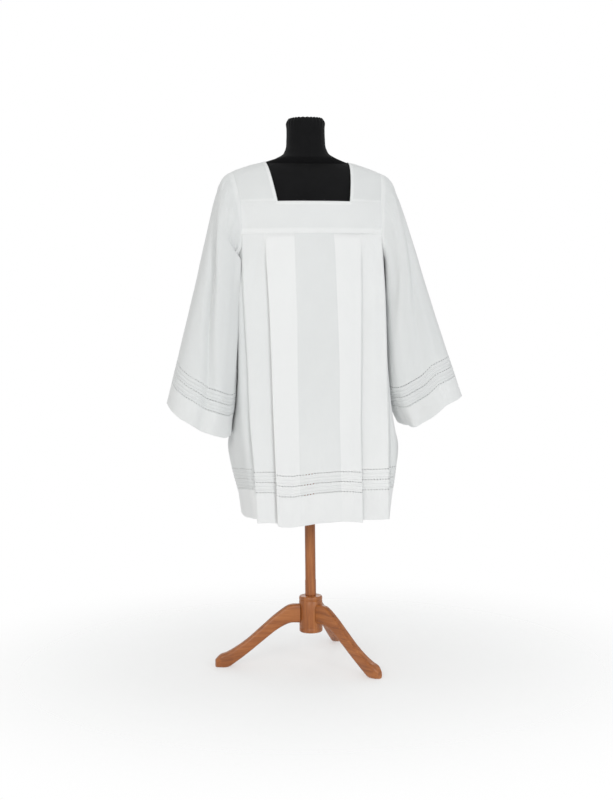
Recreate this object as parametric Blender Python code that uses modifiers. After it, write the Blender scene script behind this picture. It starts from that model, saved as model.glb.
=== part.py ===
"""A surplice on a limbless dress form that stands on a wooden tripod.

The garment is cut from two yoke bands, two shoulder straps, a front and a back skirt panel with one wide box
pleat each, and two bell sleeves. Every cloth piece is a thin wall over a surface worked out from the sizes below.
Metres, +Z up. The front faces -Y, and the pole stands on the Z axis. Left and right are the wearer's.
"""

import math

import bmesh
import bpy
import numpy as np

# Cloth
WALL = 0.0012
SEAM_GAP = 0.0003

# Heights above the floor
NECK_TOP = 1.576
SHOULDER_TOP = 1.4535
FRONT_YOKE_TOP = 1.334
BACK_YOKE_TOP = 1.368
YOKE_BOTTOM = 1.245
ARMPIT = 1.168
HEM = 0.444

# Neck opening and shoulders, as half widths
NECK_CORNER_X = 0.1045
NECK_RIDGE_X = 0.122
YOKE_END_X = 0.203
ARMHOLE_RIDGE_X = 0.215
SHOULDER_SLOPE = 0.18
SHOULDER_CURVE = 1.4

# Chest and back over the yoke: depth at the middle, and how much is lost at the yoke's end
FRONT_DEPTH = 0.125
FRONT_DEPTH_LOSS = 0.047
BACK_DEPTH = 0.105
BACK_DEPTH_LOSS = 0.030
DEPTH_POWER = 2.2

# Box pleat: half width of the pleat, and how far each fold runs in behind it
PLEAT_ROWS = (
    # height, edge, inner fold, distance between layers
    (1.245, 0.1400, 0.0620, 0.0018),
    (1.060, 0.1360, 0.0590, 0.0026),
    (0.850, 0.1310, 0.0555, 0.0034),
    (0.640, 0.1260, 0.0520, 0.0042),
    (0.430, 0.1210, 0.0480, 0.0052),
)

# Skirt panels: a row for each height
FRONT_ROWS = (
    # height, depth at centre, corner fold x, corner fold depth, side seam x, side bulge
    (1.245, 0.1250, 0.2030, 0.0780, 0.2150, 0.000),
    (1.160, 0.1340, 0.2030, 0.0940, 0.2155, 0.000),
    (1.060, 0.1430, 0.2030, 0.1160, 0.2120, 0.000),
    (0.940, 0.1520, 0.2020, 0.1300, 0.2080, 0.000),
    (0.820, 0.1600, 0.2010, 0.1420, 0.2050, 0.000),
    (0.740, 0.1665, 0.1990, 0.1500, 0.2070, 0.008),
    (0.640, 0.1760, 0.1960, 0.1640, 0.2220, 0.046),
    (0.560, 0.1830, 0.1935, 0.1750, 0.2140, 0.038),
    (0.490, 0.1890, 0.1905, 0.1840, 0.2040, 0.018),
    (0.430, 0.1940, 0.1890, 0.1900, 0.1960, 0.004),
)
BACK_ROWS = (
    (1.245, 0.1050, 0.2030, 0.0750, 0.2150, 0.000),
    (1.160, 0.1110, 0.2000, 0.0830, 0.2155, 0.000),
    (1.060, 0.1180, 0.1960, 0.0930, 0.2120, 0.000),
    (0.940, 0.1260, 0.1920, 0.1030, 0.2080, 0.000),
    (0.820, 0.1340, 0.1880, 0.1120, 0.2050, 0.000),
    (0.740, 0.1390, 0.1850, 0.1190, 0.2070, 0.000),
    (0.640, 0.1450, 0.1810, 0.1270, 0.2220, -0.006),
    (0.560, 0.1490, 0.1770, 0.1320, 0.2140, -0.004),
    (0.490, 0.1530, 0.1730, 0.1370, 0.2040, 0.000),
    (0.430, 0.1560, 0.1700, 0.1400, 0.1960, 0.000),
)
# Roundness of the corner fold and of the side seam, and how much closer the rows lie near the yoke
CORNER_EASE = 0.06
SIDE_EASE = 0.42
ROW_SPREAD = 1.12

# Soft waves of the skirt, which fade out towards the yoke
FRONT_WAVES = (
    # wavelength, phase, depth at the hem
    (0.190, 0.6, 0.0040),
    (0.105, 2.1, 0.0022),
)
BACK_WAVES = (
    (0.210, 1.4, 0.0050),
    (0.120, 0.3, 0.0026),
)
WAVE_START = 0.95
WAVE_FADE_START = 0.8
FRONT_HEM_DIP = 0.010
BACK_HEM_DIP = 0.004

# Sleeves: a row for each ring from the armhole to the cuff
SLEEVE_ROWS = (
    # way down, top line x, y, z, underarm line x, y, z, half depth front, half depth back
    (0.00, 0.2155, 0.000, 1.4245, 0.2165, 0.000, 1.1680, 0.080, 0.078),
    (0.03, 0.2340, -0.003, 1.4140, 0.2215, -0.008, 1.1560, 0.082, 0.079),
    (0.07, 0.2510, -0.008, 1.3940, 0.2235, -0.018, 1.1300, 0.084, 0.080),
    (0.12, 0.2630, -0.014, 1.3620, 0.2240, -0.028, 1.0900, 0.086, 0.081),
    (0.22, 0.2840, -0.028, 1.2830, 0.2235, -0.038, 1.0200, 0.089, 0.083),
    (0.34, 0.3060, -0.042, 1.2010, 0.2230, -0.046, 0.9510, 0.091, 0.086),
    (0.47, 0.3300, -0.057, 1.1100, 0.2230, -0.052, 0.8830, 0.093, 0.089),
    (0.60, 0.3540, -0.071, 1.0220, 0.2235, -0.057, 0.8240, 0.095, 0.092),
    (0.72, 0.3750, -0.083, 0.9460, 0.2255, -0.061, 0.7770, 0.096, 0.095),
    (0.82, 0.3920, -0.093, 0.8870, 0.2295, -0.065, 0.7430, 0.097, 0.096),
    (0.91, 0.4080, -0.102, 0.8320, 0.2350, -0.069, 0.7150, 0.098, 0.098),
    (1.00, 0.4230, -0.110, 0.7810, 0.2410, -0.073, 0.6890, 0.099, 0.099),
)
CUFF_DIP_FRONT = 0.022
CUFF_DIP_BACK = 0.008
SLEEVE_BOXINESS = 0.86
ARMHOLE_FADE = 0.24
SLEEVE_GAP_TOP = 0.0005
SLEEVE_GAP_UNDERARM = 0.0017
SLEEVE_FLUTES = (
    # angle round the sleeve from its top line through the front, width, depth at the cuff
    (38.0, 13.0, 0.009),
    (80.0, 15.0, 0.015),
    (122.0, 13.0, 0.010),
    (222.0, 16.0, 0.011),
    (268.0, 17.0, 0.016),
    (316.0, 14.0, 0.010),
)
FLUTE_GROWTH = 1.25

# Dress form
FORM_CLEARANCE = 0.0017
FORM_CHEST_INSET = 0.006
FORM_SHOULDER_X = 0.2070
FORM_EDGE_POWER = 8.0
FORM_ROWS = (
    # height, half width, front depth, back depth
    (1.200, 0.1830, 0.1160, 0.0960),
    (1.130, 0.1720, 0.1120, 0.0940),
    (1.060, 0.1560, 0.1020, 0.0880),
    (0.990, 0.1460, 0.0920, 0.0820),
    (0.920, 0.1500, 0.0940, 0.0860),
    (0.850, 0.1610, 0.1020, 0.0960),
    (0.790, 0.1680, 0.1080, 0.1020),
    (0.750, 0.1660, 0.1070, 0.1010),
    (0.732, 0.1580, 0.1010, 0.0960),
    (0.726, 0.1440, 0.0900, 0.0860),
)
FORM_NECK_ROWS = (
    # height, half width, front depth, back depth
    (1.4620, 0.0900, 0.0640, 0.0700),
    (1.4730, 0.0690, 0.0600, 0.0630),
    (1.4880, 0.0590, 0.0570, 0.0580),
    (1.5200, 0.0545, 0.0545, 0.0545),
    (1.5540, 0.0535, 0.0535, 0.0535),
    (1.5680, 0.0520, 0.0520, 0.0520),
    (NECK_TOP, 0.0460, 0.0460, 0.0460),
)
FORM_SECTION_POWER = 2.4
FORM_SIDES = 28
FORM_SHOULDER_HEIGHTS = (1.245, 1.290, 1.330, 1.362, 1.388, 1.408, 1.422, 1.434, 1.443, 1.4500)

# Stand
POLE_RADIUS = 0.016
POLE_TOP = 0.7257
HUB_RADIUS = 0.034
HUB_BOTTOM = 0.088
HUB_TOP = 0.196
HUB_ROUNDING = 0.006
TURNED_SIDES = 24
LEG_ANGLES = (-60.0, 60.0, 180.0)
LEG_ROWS = (
    # distance from the pole, height of the middle, half height, half width
    (0.0344, 0.1450, 0.0280, 0.0130),
    (0.0620, 0.1450, 0.0270, 0.0130),
    (0.1000, 0.1260, 0.0240, 0.0128),
    (0.1450, 0.0920, 0.0220, 0.0126),
    (0.1900, 0.0570, 0.0205, 0.0128),
    (0.2250, 0.0340, 0.0210, 0.0140),
    (0.2480, 0.0215, 0.0215, 0.0155),
    (0.2720, 0.0170, 0.0170, 0.0140),
    (0.2840, 0.0120, 0.0105, 0.0085),
)
LEG_CORNER = 0.45

# Colours
CLOTH_COLOUR = (0.80, 0.81, 0.82, 1.0)
FORM_COLOUR = (0.012, 0.012, 0.013, 1.0)
WOOD_COLOUR = (0.42, 0.17, 0.06, 1.0)

# Fine settings of the mesh
STEP = 0.001
SHARP_ANGLE = 40.0


def table(rows, column, value):
    """A column of a table read at a value of its first column, on a smooth curve through the rows."""
    ordered = sorted(rows)
    steps = np.array([row[0] for row in ordered])
    numbers = np.array([row[column] for row in ordered])
    value = min(max(value, steps[0]), steps[-1])
    slopes = np.gradient(numbers, steps)
    i = min(int(np.searchsorted(steps, value, side="right")) - 1, len(steps) - 2)
    width = steps[i + 1] - steps[i]
    t = (value - steps[i]) / width
    start = (2 * t**3 - 3 * t**2 + 1) * numbers[i] + (t**3 - 2 * t**2 + t) * width * slopes[i]
    end = (3 * t**2 - 2 * t**3) * numbers[i + 1] + (t**3 - t**2) * width * slopes[i + 1]
    return float(start + end)


def ease(t):
    """0 to 1 with level ends."""
    t = min(max(t, 0.0), 1.0)
    return t * t * (3 - 2 * t)


def ridge_height(x):
    """Height of the shoulder line above a half width x."""
    out = abs(x) - NECK_RIDGE_X
    return SHOULDER_TOP - SHOULDER_SLOPE * out - SHOULDER_CURVE * out * out


def chest_depth(x, front):
    """How far the cloth stands out at the yoke's lower edge."""
    share = (abs(x) / YOKE_END_X) ** DEPTH_POWER
    return FRONT_DEPTH - FRONT_DEPTH_LOSS * share if front else BACK_DEPTH - BACK_DEPTH_LOSS * share


def lean_at(x, z):
    """The angle from the shoulder ridge at which the arch over x passes the height z."""
    rise = (z - YOKE_BOTTOM) / (ridge_height(x) - YOKE_BOTTOM)
    return math.acos(min(max(rise, -1.0), 1.0))


def arch(x, lean):
    """A point of the cloth over the shoulders: lean is 0 on the ridge, above 0 in front, below 0 behind."""
    depth = chest_depth(x, lean > 0)
    height = YOKE_BOTTOM + (ridge_height(x) - YOKE_BOTTOM) * math.cos(lean)
    return (x, -depth * math.sin(lean), height)


def yoke_points(front, columns=14, rows=4):
    """The band across the chest or the back, from one armhole to the other."""
    top = FRONT_YOKE_TOP if front else BACK_YOKE_TOP
    sign = 1 if front else -1
    grid = []
    for row in range(rows + 1):
        height = YOKE_BOTTOM + SEAM_GAP / 2 + (top - YOKE_BOTTOM - SEAM_GAP) * row / rows
        xs = [YOKE_END_X * (2 * column / columns - 1) for column in range(columns + 1)]
        grid.append([arch(x, sign * lean_at(x, height)) for x in xs])
    return grid


def strap_edges(share):
    """Inner and outer half width of a shoulder strap: share is -1 at the back seam, 0 on the ridge, 1 in front."""
    inner = NECK_RIDGE_X - (NECK_RIDGE_X - NECK_CORNER_X) * share * share
    outer = ARMHOLE_RIDGE_X - (ARMHOLE_RIDGE_X - YOKE_END_X) * share * share
    return inner, outer


def strap_point(across, share, side):
    """A point of a shoulder strap: across is 0 at the neck and 1 at the armhole."""
    inner, outer = strap_edges(share)
    x = inner + (outer - inner) * across
    seam = FRONT_YOKE_TOP if share > 0 else BACK_YOKE_TOP
    x_at_seam = NECK_CORNER_X + (YOKE_END_X - NECK_CORNER_X) * across
    end = lean_at(x_at_seam, seam + SEAM_GAP / 2)
    px, py, pz = arch(x, share * end)
    return (side * px, py, pz)


def strap_points(side, columns=7, rows=14):
    shares = [2 * row / rows - 1 for row in range(rows + 1)]
    return [[strap_point(column / columns, share, side) for column in range(columns + 1)] for share in shares]


def wave(x, z, waves):
    """How far the skirt stands out of its smooth form."""
    fade = ease((WAVE_START - z) / (WAVE_START - HEM))
    return fade * sum(depth * math.sin(2 * math.pi * x / length + phase) for length, phase, depth in waves)


class Section:
    """The level section of a skirt panel at one height, on one side of the centre line."""

    def __init__(self, z, side, front):
        rows = FRONT_ROWS if front else BACK_ROWS
        self.z = z
        self.side = side
        self.sign = -1 if front else 1
        self.waves = FRONT_WAVES if front else BACK_WAVES
        self.depth, self.fold_x, self.fold_depth, self.seam_x, self.bulge = (
            table(rows, column, z) for column in range(1, 6)
        )
        self.edge, self.inner, self.layer = (table(PLEAT_ROWS, column, z) for column in range(1, 4))

    def base(self, x):
        share = abs(x / self.fold_x) ** DEPTH_POWER
        depth = self.depth - (self.depth - self.fold_depth) * share
        near_corner = (x / self.fold_x - WAVE_FADE_START) / (1 - WAVE_FADE_START)
        depth += wave(self.side * x, self.z, self.waves) * (1 - ease(near_corner))
        return np.array([x, depth])

    def out(self, x, distance):
        """A point above the base line, at a distance along its normal."""
        run = self.base(x + STEP) - self.base(x - STEP)
        normal = np.array([-run[1], run[0]]) / np.linalg.norm(run)
        return self.base(x) + distance * normal

    def round_side(self, share):
        """From the corner fold, share 0, to the side seam, share 1."""
        fold = self.base(self.fold_x)
        run = fold - self.base(self.fold_x - 2 * STEP)
        run = run / np.linalg.norm(run)
        seam = np.array([self.seam_x, SEAM_GAP / 2])
        reach = np.linalg.norm(seam - fold)
        first = fold + run * reach * CORNER_EASE
        second = seam + np.array([self.bulge, reach * SIDE_EASE])
        t = share
        weights = ((1 - t) ** 3, 3 * (1 - t) ** 2 * t, 3 * (1 - t) * t * t, t**3)
        return sum(weight * point for weight, point in zip(weights, (fold, first, second, seam)))

    def place(self, point):
        return (self.side * float(point[0]), self.sign * float(point[1]), self.z)


def column_plan(centre=5, under=3, panel=4, around=8, turn=4):
    """The columns of half a panel from the centre line to the side seam, each as (part, share)."""
    plan = [("centre", i / centre) for i in range(centre)]
    plan += [("edge turn", i / turn) for i in range(turn + 1)]
    plan += [("under", i / under) for i in range(1, under)]
    plan += [("inner turn", i / turn) for i in range(turn + 1)]
    plan += [("behind", i / under) for i in range(1, under + 1)]
    plan += [("panel", i / panel) for i in range(1, panel + 1)]
    plan += [("side", i / around) for i in range(1, around + 1)]
    return plan


def column_point(section, part, share):
    """Where a column crosses a level section."""
    bend = section.layer / 2
    edge = section.edge - bend
    inner = section.inner + bend
    angle = math.pi * (0.5 - share)
    if part == "centre":
        return section.out(edge * share, section.layer)
    if part == "edge turn":
        return section.out(edge + bend * math.cos(angle), bend + bend * math.sin(angle))
    if part == "under":
        return section.out(edge + (inner - edge) * share, 0.0)
    if part == "inner turn":
        return section.out(inner - bend * math.cos(angle), bend * math.sin(angle) - bend)
    if part == "behind":
        return section.out(inner + (section.edge - inner) * share, -section.layer)
    if part == "panel":
        x = section.edge + (section.fold_x - section.edge) * share
        return section.out(x, -section.layer * (1 - ease(share)))
    return section.round_side(1 - math.cos(share * math.pi / 2))


def column_top(part, share):
    """Height of a column's upper end: under the yoke, then down the armhole."""
    if part != "side":
        return YOKE_BOTTOM - SEAM_GAP / 2
    return YOKE_BOTTOM - SEAM_GAP / 2 - (YOKE_BOTTOM - ARMPIT) * math.sin(share * math.pi / 2)


def column_hem(part, share, front):
    """Height of a column's lower end: the centre of the pleat hangs a little lower."""
    dip = FRONT_HEM_DIP if front else BACK_HEM_DIP
    if part == "centre":
        return HEM - dip * (1 - 0.5 * share * share)
    if part in ("edge turn", "under", "inner turn"):
        return HEM - dip * 0.5
    if part == "behind":
        return HEM - dip * 0.5 * (1 - share)
    return HEM


def panel_points(front, row_count=12):
    """A skirt panel as rows from the top edge to the hem, each from one side seam to the other."""
    plan = column_plan()
    half_plans = [(-1, column) for column in reversed(plan)] + [(1, column) for column in plan[1:]]
    grid = []
    for row in range(row_count + 1):
        share_down = (row / row_count) ** ROW_SPREAD
        line = []
        for side, (part, share) in half_plans:
            top = column_top(part, share)
            z = top + (column_hem(part, share, front) - top) * share_down
            section = Section(z, side, front)
            line.append(section.place(column_point(section, part, share)))
        grid.append(line)
    return grid


def armhole_line(front, steps=16):
    """The edge of the armhole from the shoulder ridge down to the armpit, on the left side."""
    sign = 1 if front else -1
    seam = FRONT_YOKE_TOP if front else BACK_YOKE_TOP
    points = [strap_point(1.0, sign * i / steps, 1) for i in range(steps + 1)]
    for i in range(1, steps + 1):
        height = seam + (YOKE_BOTTOM - seam) * i / steps
        points.append(arch(YOKE_END_X, sign * lean_at(YOKE_END_X, height)))
    for i in range(1, steps + 1):
        height = column_top("side", i / steps)
        section = Section(height, 1, front)
        points.append(section.place(column_point(section, "side", i / steps)))
    return np.array(points)


def sleeve_ring(way, sides, lines):
    """A ring of the left sleeve: way is 0 at the armhole and 1 at the cuff."""
    values = [table(SLEEVE_ROWS, column, way) for column in range(1, 9)]
    top = np.array(values[0:3])
    under = np.array(values[3:6])
    half_depths = values[6:8]
    start_top = np.array(SLEEVE_ROWS[0][1:4])
    start_under = np.array(SLEEVE_ROWS[0][4:7])
    fade = ease(way / ARMHOLE_FADE)
    ring = []
    for i in range(sides):
        angle = 2 * math.pi * i / sides
        front = math.sin(angle) >= 0
        share = (1 + math.cos(angle)) / 2
        round_share = math.copysign(abs(math.sin(angle)) ** SLEEVE_BOXINESS, math.sin(angle))
        point = under + (top - under) * share
        flute = sum(
            depth * math.exp(-(((math.degrees(angle) - middle) / width) ** 2))
            for middle, width, depth in SLEEVE_FLUTES
        )
        depth = half_depths[0 if front else 1] - flute * way**FLUTE_GROWTH
        free = np.array([0.0, -depth * round_share, 0.0])
        dip = CUFF_DIP_FRONT if front else CUFF_DIP_BACK
        free[2] = -dip * math.sin(angle) * (1 - math.cos(angle)) * way * way
        line = lines[0 if front else 1]
        start = start_under + (start_top - start_under) * share
        height = min(max(start[2], line[-1][2]), line[0][2])
        order = np.argsort(line[:, 2])
        held = np.array([np.interp(height, line[order, 2], line[order, k]) for k in range(3)]) - start
        held[0] += SLEEVE_GAP_TOP * share + SLEEVE_GAP_UNDERARM * (1 - share)
        ring.append(point + held * (1 - fade) + free * fade)
    return ring


def sleeve_points(side, sides=32):
    """A sleeve as rings from the armhole to the cuff."""
    lines = (armhole_line(True), armhole_line(False))
    rings = [sleeve_ring(row[0], sides, lines) for row in SLEEVE_ROWS]
    return [[(side * p[0], p[1], p[2]) for p in ring] for ring in rings]


def form_section(z, half_width, depths, sides):
    """A level ring of the dress form below the shoulders."""
    ring = []
    for i in range(sides):
        angle = 2 * math.pi * i / sides
        x = half_width * math.cos(angle)
        share = max(1 - abs(math.cos(angle)) ** FORM_SECTION_POWER, 0.0) ** (1 / FORM_SECTION_POWER)
        y = -depths[0] * share if math.sin(angle) < 0 else depths[1] * share
        ring.append((x, y, z))
    return ring


def form_shoulder_section(z, sides):
    """A level ring of the dress form where it fills the shoulders of the garment."""
    inset = WALL / 2 + FORM_CLEARANCE
    low, high = 0.0, 0.4
    for _ in range(40):
        middle = (low + high) / 2
        if ridge_height(middle) - inset > z:
            low = middle
        else:
            high = middle
    half_width = min(low, FORM_SHOULDER_X)
    ring = []
    for i in range(sides):
        angle = 2 * math.pi * i / sides
        x = half_width * math.cos(angle)
        rise = min((z - YOKE_BOTTOM) / (ridge_height(x) - inset - YOKE_BOTTOM), 1.0)
        front = math.sin(angle) < 0
        depth = (chest_depth(x, front) - FORM_CHEST_INSET) * math.sqrt(1 - rise * rise)
        depth *= math.sqrt(max(1 - (abs(x) / FORM_SHOULDER_X) ** FORM_EDGE_POWER, 0.0))
        ring.append((x, -depth if front else depth, z))
    return ring


def form_rings():
    """The dress form from its underside to the top of the neck."""
    rings = [form_section(z, w, (f, b), FORM_SIDES) for z, w, f, b in reversed(FORM_ROWS)]
    rings += [form_shoulder_section(z, FORM_SIDES) for z in FORM_SHOULDER_HEIGHTS]
    rings += [form_section(z, w, (f, b), FORM_SIDES) for z, w, f, b in FORM_NECK_ROWS]
    return rings


def material(name, colour, roughness):
    made = bpy.data.materials.new(name)
    made.use_nodes = True
    shader = made.node_tree.nodes["Principled BSDF"]
    shader.inputs["Base Color"].default_value = colour
    shader.inputs["Roughness"].default_value = roughness
    shader.inputs["Metallic"].default_value = 0.0
    made.diffuse_color = colour
    return made


def new_object(name, mesh, finish, collection):
    made = bpy.data.objects.new(name, mesh)
    mesh.materials.append(finish)
    mesh.shade_smooth()
    mesh.set_sharp_from_angle(angle=math.radians(SHARP_ANGLE))
    collection.objects.link(made)
    return made


def lofted(name, rings, closed, capped):
    """A mesh through rows of points, joined round when closed, with flat ends when capped."""
    bm = bmesh.new()
    rows = [[bm.verts.new(point) for point in ring] for ring in rings]
    count = len(rows[0])
    for lower, upper in zip(rows, rows[1:]):
        for i in range(count if closed else count - 1):
            j = (i + 1) % count
            bm.faces.new((lower[i], lower[j], upper[j], upper[i]))
    if capped:
        bm.faces.new(rows[0])
        bm.faces.new(rows[-1])
    bmesh.ops.recalc_face_normals(bm, faces=bm.faces)
    mesh = bpy.data.meshes.new(name)
    bm.to_mesh(mesh)
    bm.free()
    return mesh


def cloth(name, rings, closed, finish, collection):
    """A cloth piece: an open surface with an even wall about it."""
    piece = new_object(name, lofted(name, rings, closed, False), finish, collection)
    wall = piece.modifiers.new("Wall", "SOLIDIFY")
    wall.thickness = WALL
    wall.offset = 0.0
    wall.use_even_offset = True
    return piece


def build_garment(finish, collection):
    cloth("yoke_front", yoke_points(True), False, finish, collection)
    cloth("yoke_back", yoke_points(False), False, finish, collection)
    cloth("body_front", panel_points(True), False, finish, collection)
    cloth("body_back", panel_points(False), False, finish, collection)
    for label, side in (("left", 1), ("right", -1)):
        cloth(f"shoulder_{label}", strap_points(side), False, finish, collection)
        cloth(f"sleeve_{label}", sleeve_points(side), True, finish, collection)


def turned(name, radius, bottom, top, finish, collection):
    """A round post, made as a cylinder with softened ends."""
    bm = bmesh.new()
    bmesh.ops.create_cone(
        bm, cap_ends=True, segments=TURNED_SIDES, radius1=radius, radius2=radius, depth=top - bottom
    )
    mesh = bpy.data.meshes.new(name)
    bm.to_mesh(mesh)
    bm.free()
    post = new_object(name, mesh, finish, collection)
    post.location = (0.0, 0.0, (top + bottom) / 2)
    return post


def leg_section(distance, middle, half_height, half_width):
    """Eight corners of a rounded bar across a leg that runs along +X, flat below where the foot stands."""
    outline = (
        (1.0, LEG_CORNER), (LEG_CORNER, 1.0), (-LEG_CORNER, 1.0), (-1.0, LEG_CORNER),
        (-1.0, -LEG_CORNER), (-LEG_CORNER, -1.0), (LEG_CORNER, -1.0), (1.0, -LEG_CORNER),
    )
    ring = []
    for across, up in outline:
        height = max(middle + half_height * up, 0.0)
        ring.append((distance, half_width * across, height))
    return ring


def build_stand(finish, collection):
    turned("stand_pole", POLE_RADIUS, HUB_TOP + SEAM_GAP, POLE_TOP, finish, collection)
    hub = turned("stand_hub", HUB_RADIUS, HUB_BOTTOM, HUB_TOP, finish, collection)
    edge = hub.modifiers.new("Rounded ends", "BEVEL")
    edge.width = HUB_ROUNDING
    edge.segments = 2
    edge.limit_method = "ANGLE"
    for number, angle in enumerate(LEG_ANGLES, 1):
        rings = [leg_section(*row) for row in LEG_ROWS]
        leg = new_object(f"leg_{number}", lofted(f"leg_{number}", rings, True, True), finish, collection)
        leg.rotation_euler = (0.0, 0.0, math.radians(angle))


def main():
    for old in list(bpy.data.objects):
        bpy.data.objects.remove(old, do_unlink=True)
    collection = bpy.data.collections.new("surplice_on_dress_form")
    bpy.context.scene.collection.children.link(collection)
    cloth_finish = material("white cloth", CLOTH_COLOUR, 0.75)
    form_finish = material("black form cover", FORM_COLOUR, 0.85)
    wood_finish = material("stained wood", WOOD_COLOUR, 0.45)
    build_garment(cloth_finish, collection)
    new_object("form_torso", lofted("form_torso", form_rings(), True, True), form_finish, collection)
    build_stand(wood_finish, collection)
    bpy.context.view_layer.update()


main()
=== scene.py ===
"""The looks of a surplice on a dress form: thin cloth with openwork and stitches, the form and its stand.

Metres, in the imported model's frame. The front faces -Y, and left and right are the wearer's.
"""

import math

import bpy
import numpy as np
from mathutils import Matrix, Vector


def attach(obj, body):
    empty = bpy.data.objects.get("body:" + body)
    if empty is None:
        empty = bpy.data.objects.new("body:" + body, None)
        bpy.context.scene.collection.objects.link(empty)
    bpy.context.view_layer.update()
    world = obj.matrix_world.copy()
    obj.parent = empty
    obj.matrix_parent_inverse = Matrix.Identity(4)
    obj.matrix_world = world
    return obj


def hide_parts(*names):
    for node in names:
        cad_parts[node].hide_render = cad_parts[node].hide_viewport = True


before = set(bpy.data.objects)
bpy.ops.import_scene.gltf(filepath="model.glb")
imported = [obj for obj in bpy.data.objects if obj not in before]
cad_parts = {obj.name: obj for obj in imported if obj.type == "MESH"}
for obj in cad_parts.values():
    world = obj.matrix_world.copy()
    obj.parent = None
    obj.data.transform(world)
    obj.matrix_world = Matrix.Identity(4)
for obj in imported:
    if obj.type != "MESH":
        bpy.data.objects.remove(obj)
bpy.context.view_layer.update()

# Cloth
SHELL = 0.0007
# Painted shade in the sleeves' fold valleys and painted light on their ridges, per metre of fold depth
FOLD_PAINTED_SHADE = 14.0
# How thick the cloth looks, 0 for one layer and about 1 where it is folded double, with painted shade and
# light mixed in: lower numbers paint the cloth darker
# The centre strip is one layer, and is also painted darker as painted shade of dark showing through it,
# less so towards the hem
THICK_CENTRE_SHADED = 0.34
CENTRE_SHADE_FADE = 0.14
THICK_PLEAT = 1.15
# The panels beside the pleat have a second layer behind them; the wearer's left one is also painted lighter
# than the right one, as painted light
THICK_BESIDE_LEFT_LIT = 0.85
THICK_BESIDE_RIGHT_SHADED = 0.6
# The panels' sides, painted darker as painted shade where they turn away from the light
THICK_SIDE_SHADED = 0.05
THICK_BODY_HEM = 1.0
# The sleeves' single layer, also painted darker as painted shade of dark showing through it
THICK_SLEEVE_SHADED = 0.06
THICK_SLEEVE_HEM = 0.55
THICK_SLEEVE_HEAD = 0.6
THICK_YOKE = 0.5
THICK_NECK = 0.9
THICK_STRAP = 0.18
THICK_STRAP_END = 0.7
SEAM_GAP = 0.0003
BORDER = 0.0003

# Heights above the floor
NECK_TOP = 1.576
SHOULDER_TOP = 1.4535
FRONT_YOKE_TOP = 1.334
BACK_YOKE_TOP = 1.368
YOKE_BOTTOM = 1.245
ARMPIT = 1.168
HEM = 0.444

# Neck opening and shoulders, as half widths
NECK_CORNER_X = 0.1045
NECK_RIDGE_X = 0.122
YOKE_END_X = 0.203
ARMHOLE_RIDGE_X = 0.215
SHOULDER_SLOPE = 0.18
SHOULDER_CURVE = 1.4

# Chest and back: depth at the middle, and how much is lost at the yoke's end
FRONT_DEPTH = 0.125
FRONT_DEPTH_LOSS = 0.047
BACK_DEPTH = 0.105
BACK_DEPTH_LOSS = 0.03
DEPTH_POWER = 2.2

PLEAT_ROWS = (
    # height, edge, inner fold, distance between layers
    (1.245, 0.14, 0.062, 0.0018), (1.06, 0.136, 0.059, 0.0026), (0.85, 0.131, 0.0555, 0.0034),
    (0.64, 0.126, 0.052, 0.0042), (0.43, 0.121, 0.048, 0.0052),
)
FRONT_ROWS = (
    # height, depth at centre, corner fold x, corner fold depth, side seam x, side bulge
    (1.245, 0.125, 0.203, 0.078, 0.215, 0.0), (1.16, 0.134, 0.203, 0.094, 0.2155, 0.0),
    (1.06, 0.143, 0.203, 0.116, 0.212, 0.0), (0.94, 0.152, 0.202, 0.13, 0.208, 0.0),
    (0.82, 0.16, 0.201, 0.142, 0.205, 0.0), (0.74, 0.1665, 0.199, 0.15, 0.207, 0.008),
    (0.64, 0.176, 0.196, 0.164, 0.222, 0.046), (0.56, 0.183, 0.1935, 0.175, 0.214, 0.038),
    (0.49, 0.189, 0.1905, 0.184, 0.204, 0.018), (0.43, 0.194, 0.189, 0.19, 0.196, 0.004),
)
BACK_ROWS = (
    (1.245, 0.105, 0.203, 0.075, 0.215, 0.0), (1.16, 0.111, 0.2, 0.083, 0.2155, 0.0),
    (1.06, 0.118, 0.196, 0.093, 0.212, 0.0), (0.94, 0.126, 0.192, 0.103, 0.208, 0.0),
    (0.82, 0.134, 0.188, 0.112, 0.205, 0.0), (0.74, 0.139, 0.185, 0.119, 0.207, 0.0),
    (0.64, 0.145, 0.181, 0.127, 0.222, -0.006), (0.56, 0.149, 0.177, 0.132, 0.214, -0.004),
    (0.49, 0.153, 0.173, 0.137, 0.204, 0.0), (0.43, 0.156, 0.17, 0.14, 0.196, 0.0),
)
CORNER_EASE = 0.06
SIDE_EASE = 0.42
FRONT_WAVES = (
    # wavelength, phase, depth at the hem
    (0.19, 0.6, 0.004), (0.105, 2.1, 0.0022),
)
BACK_WAVES = (
    (0.21, 1.4, 0.005), (0.12, 0.3, 0.0026),
)
WAVE_START = 0.95
FRONT_HEM_DIP = 0.01
BACK_HEM_DIP = 0.004

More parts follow.
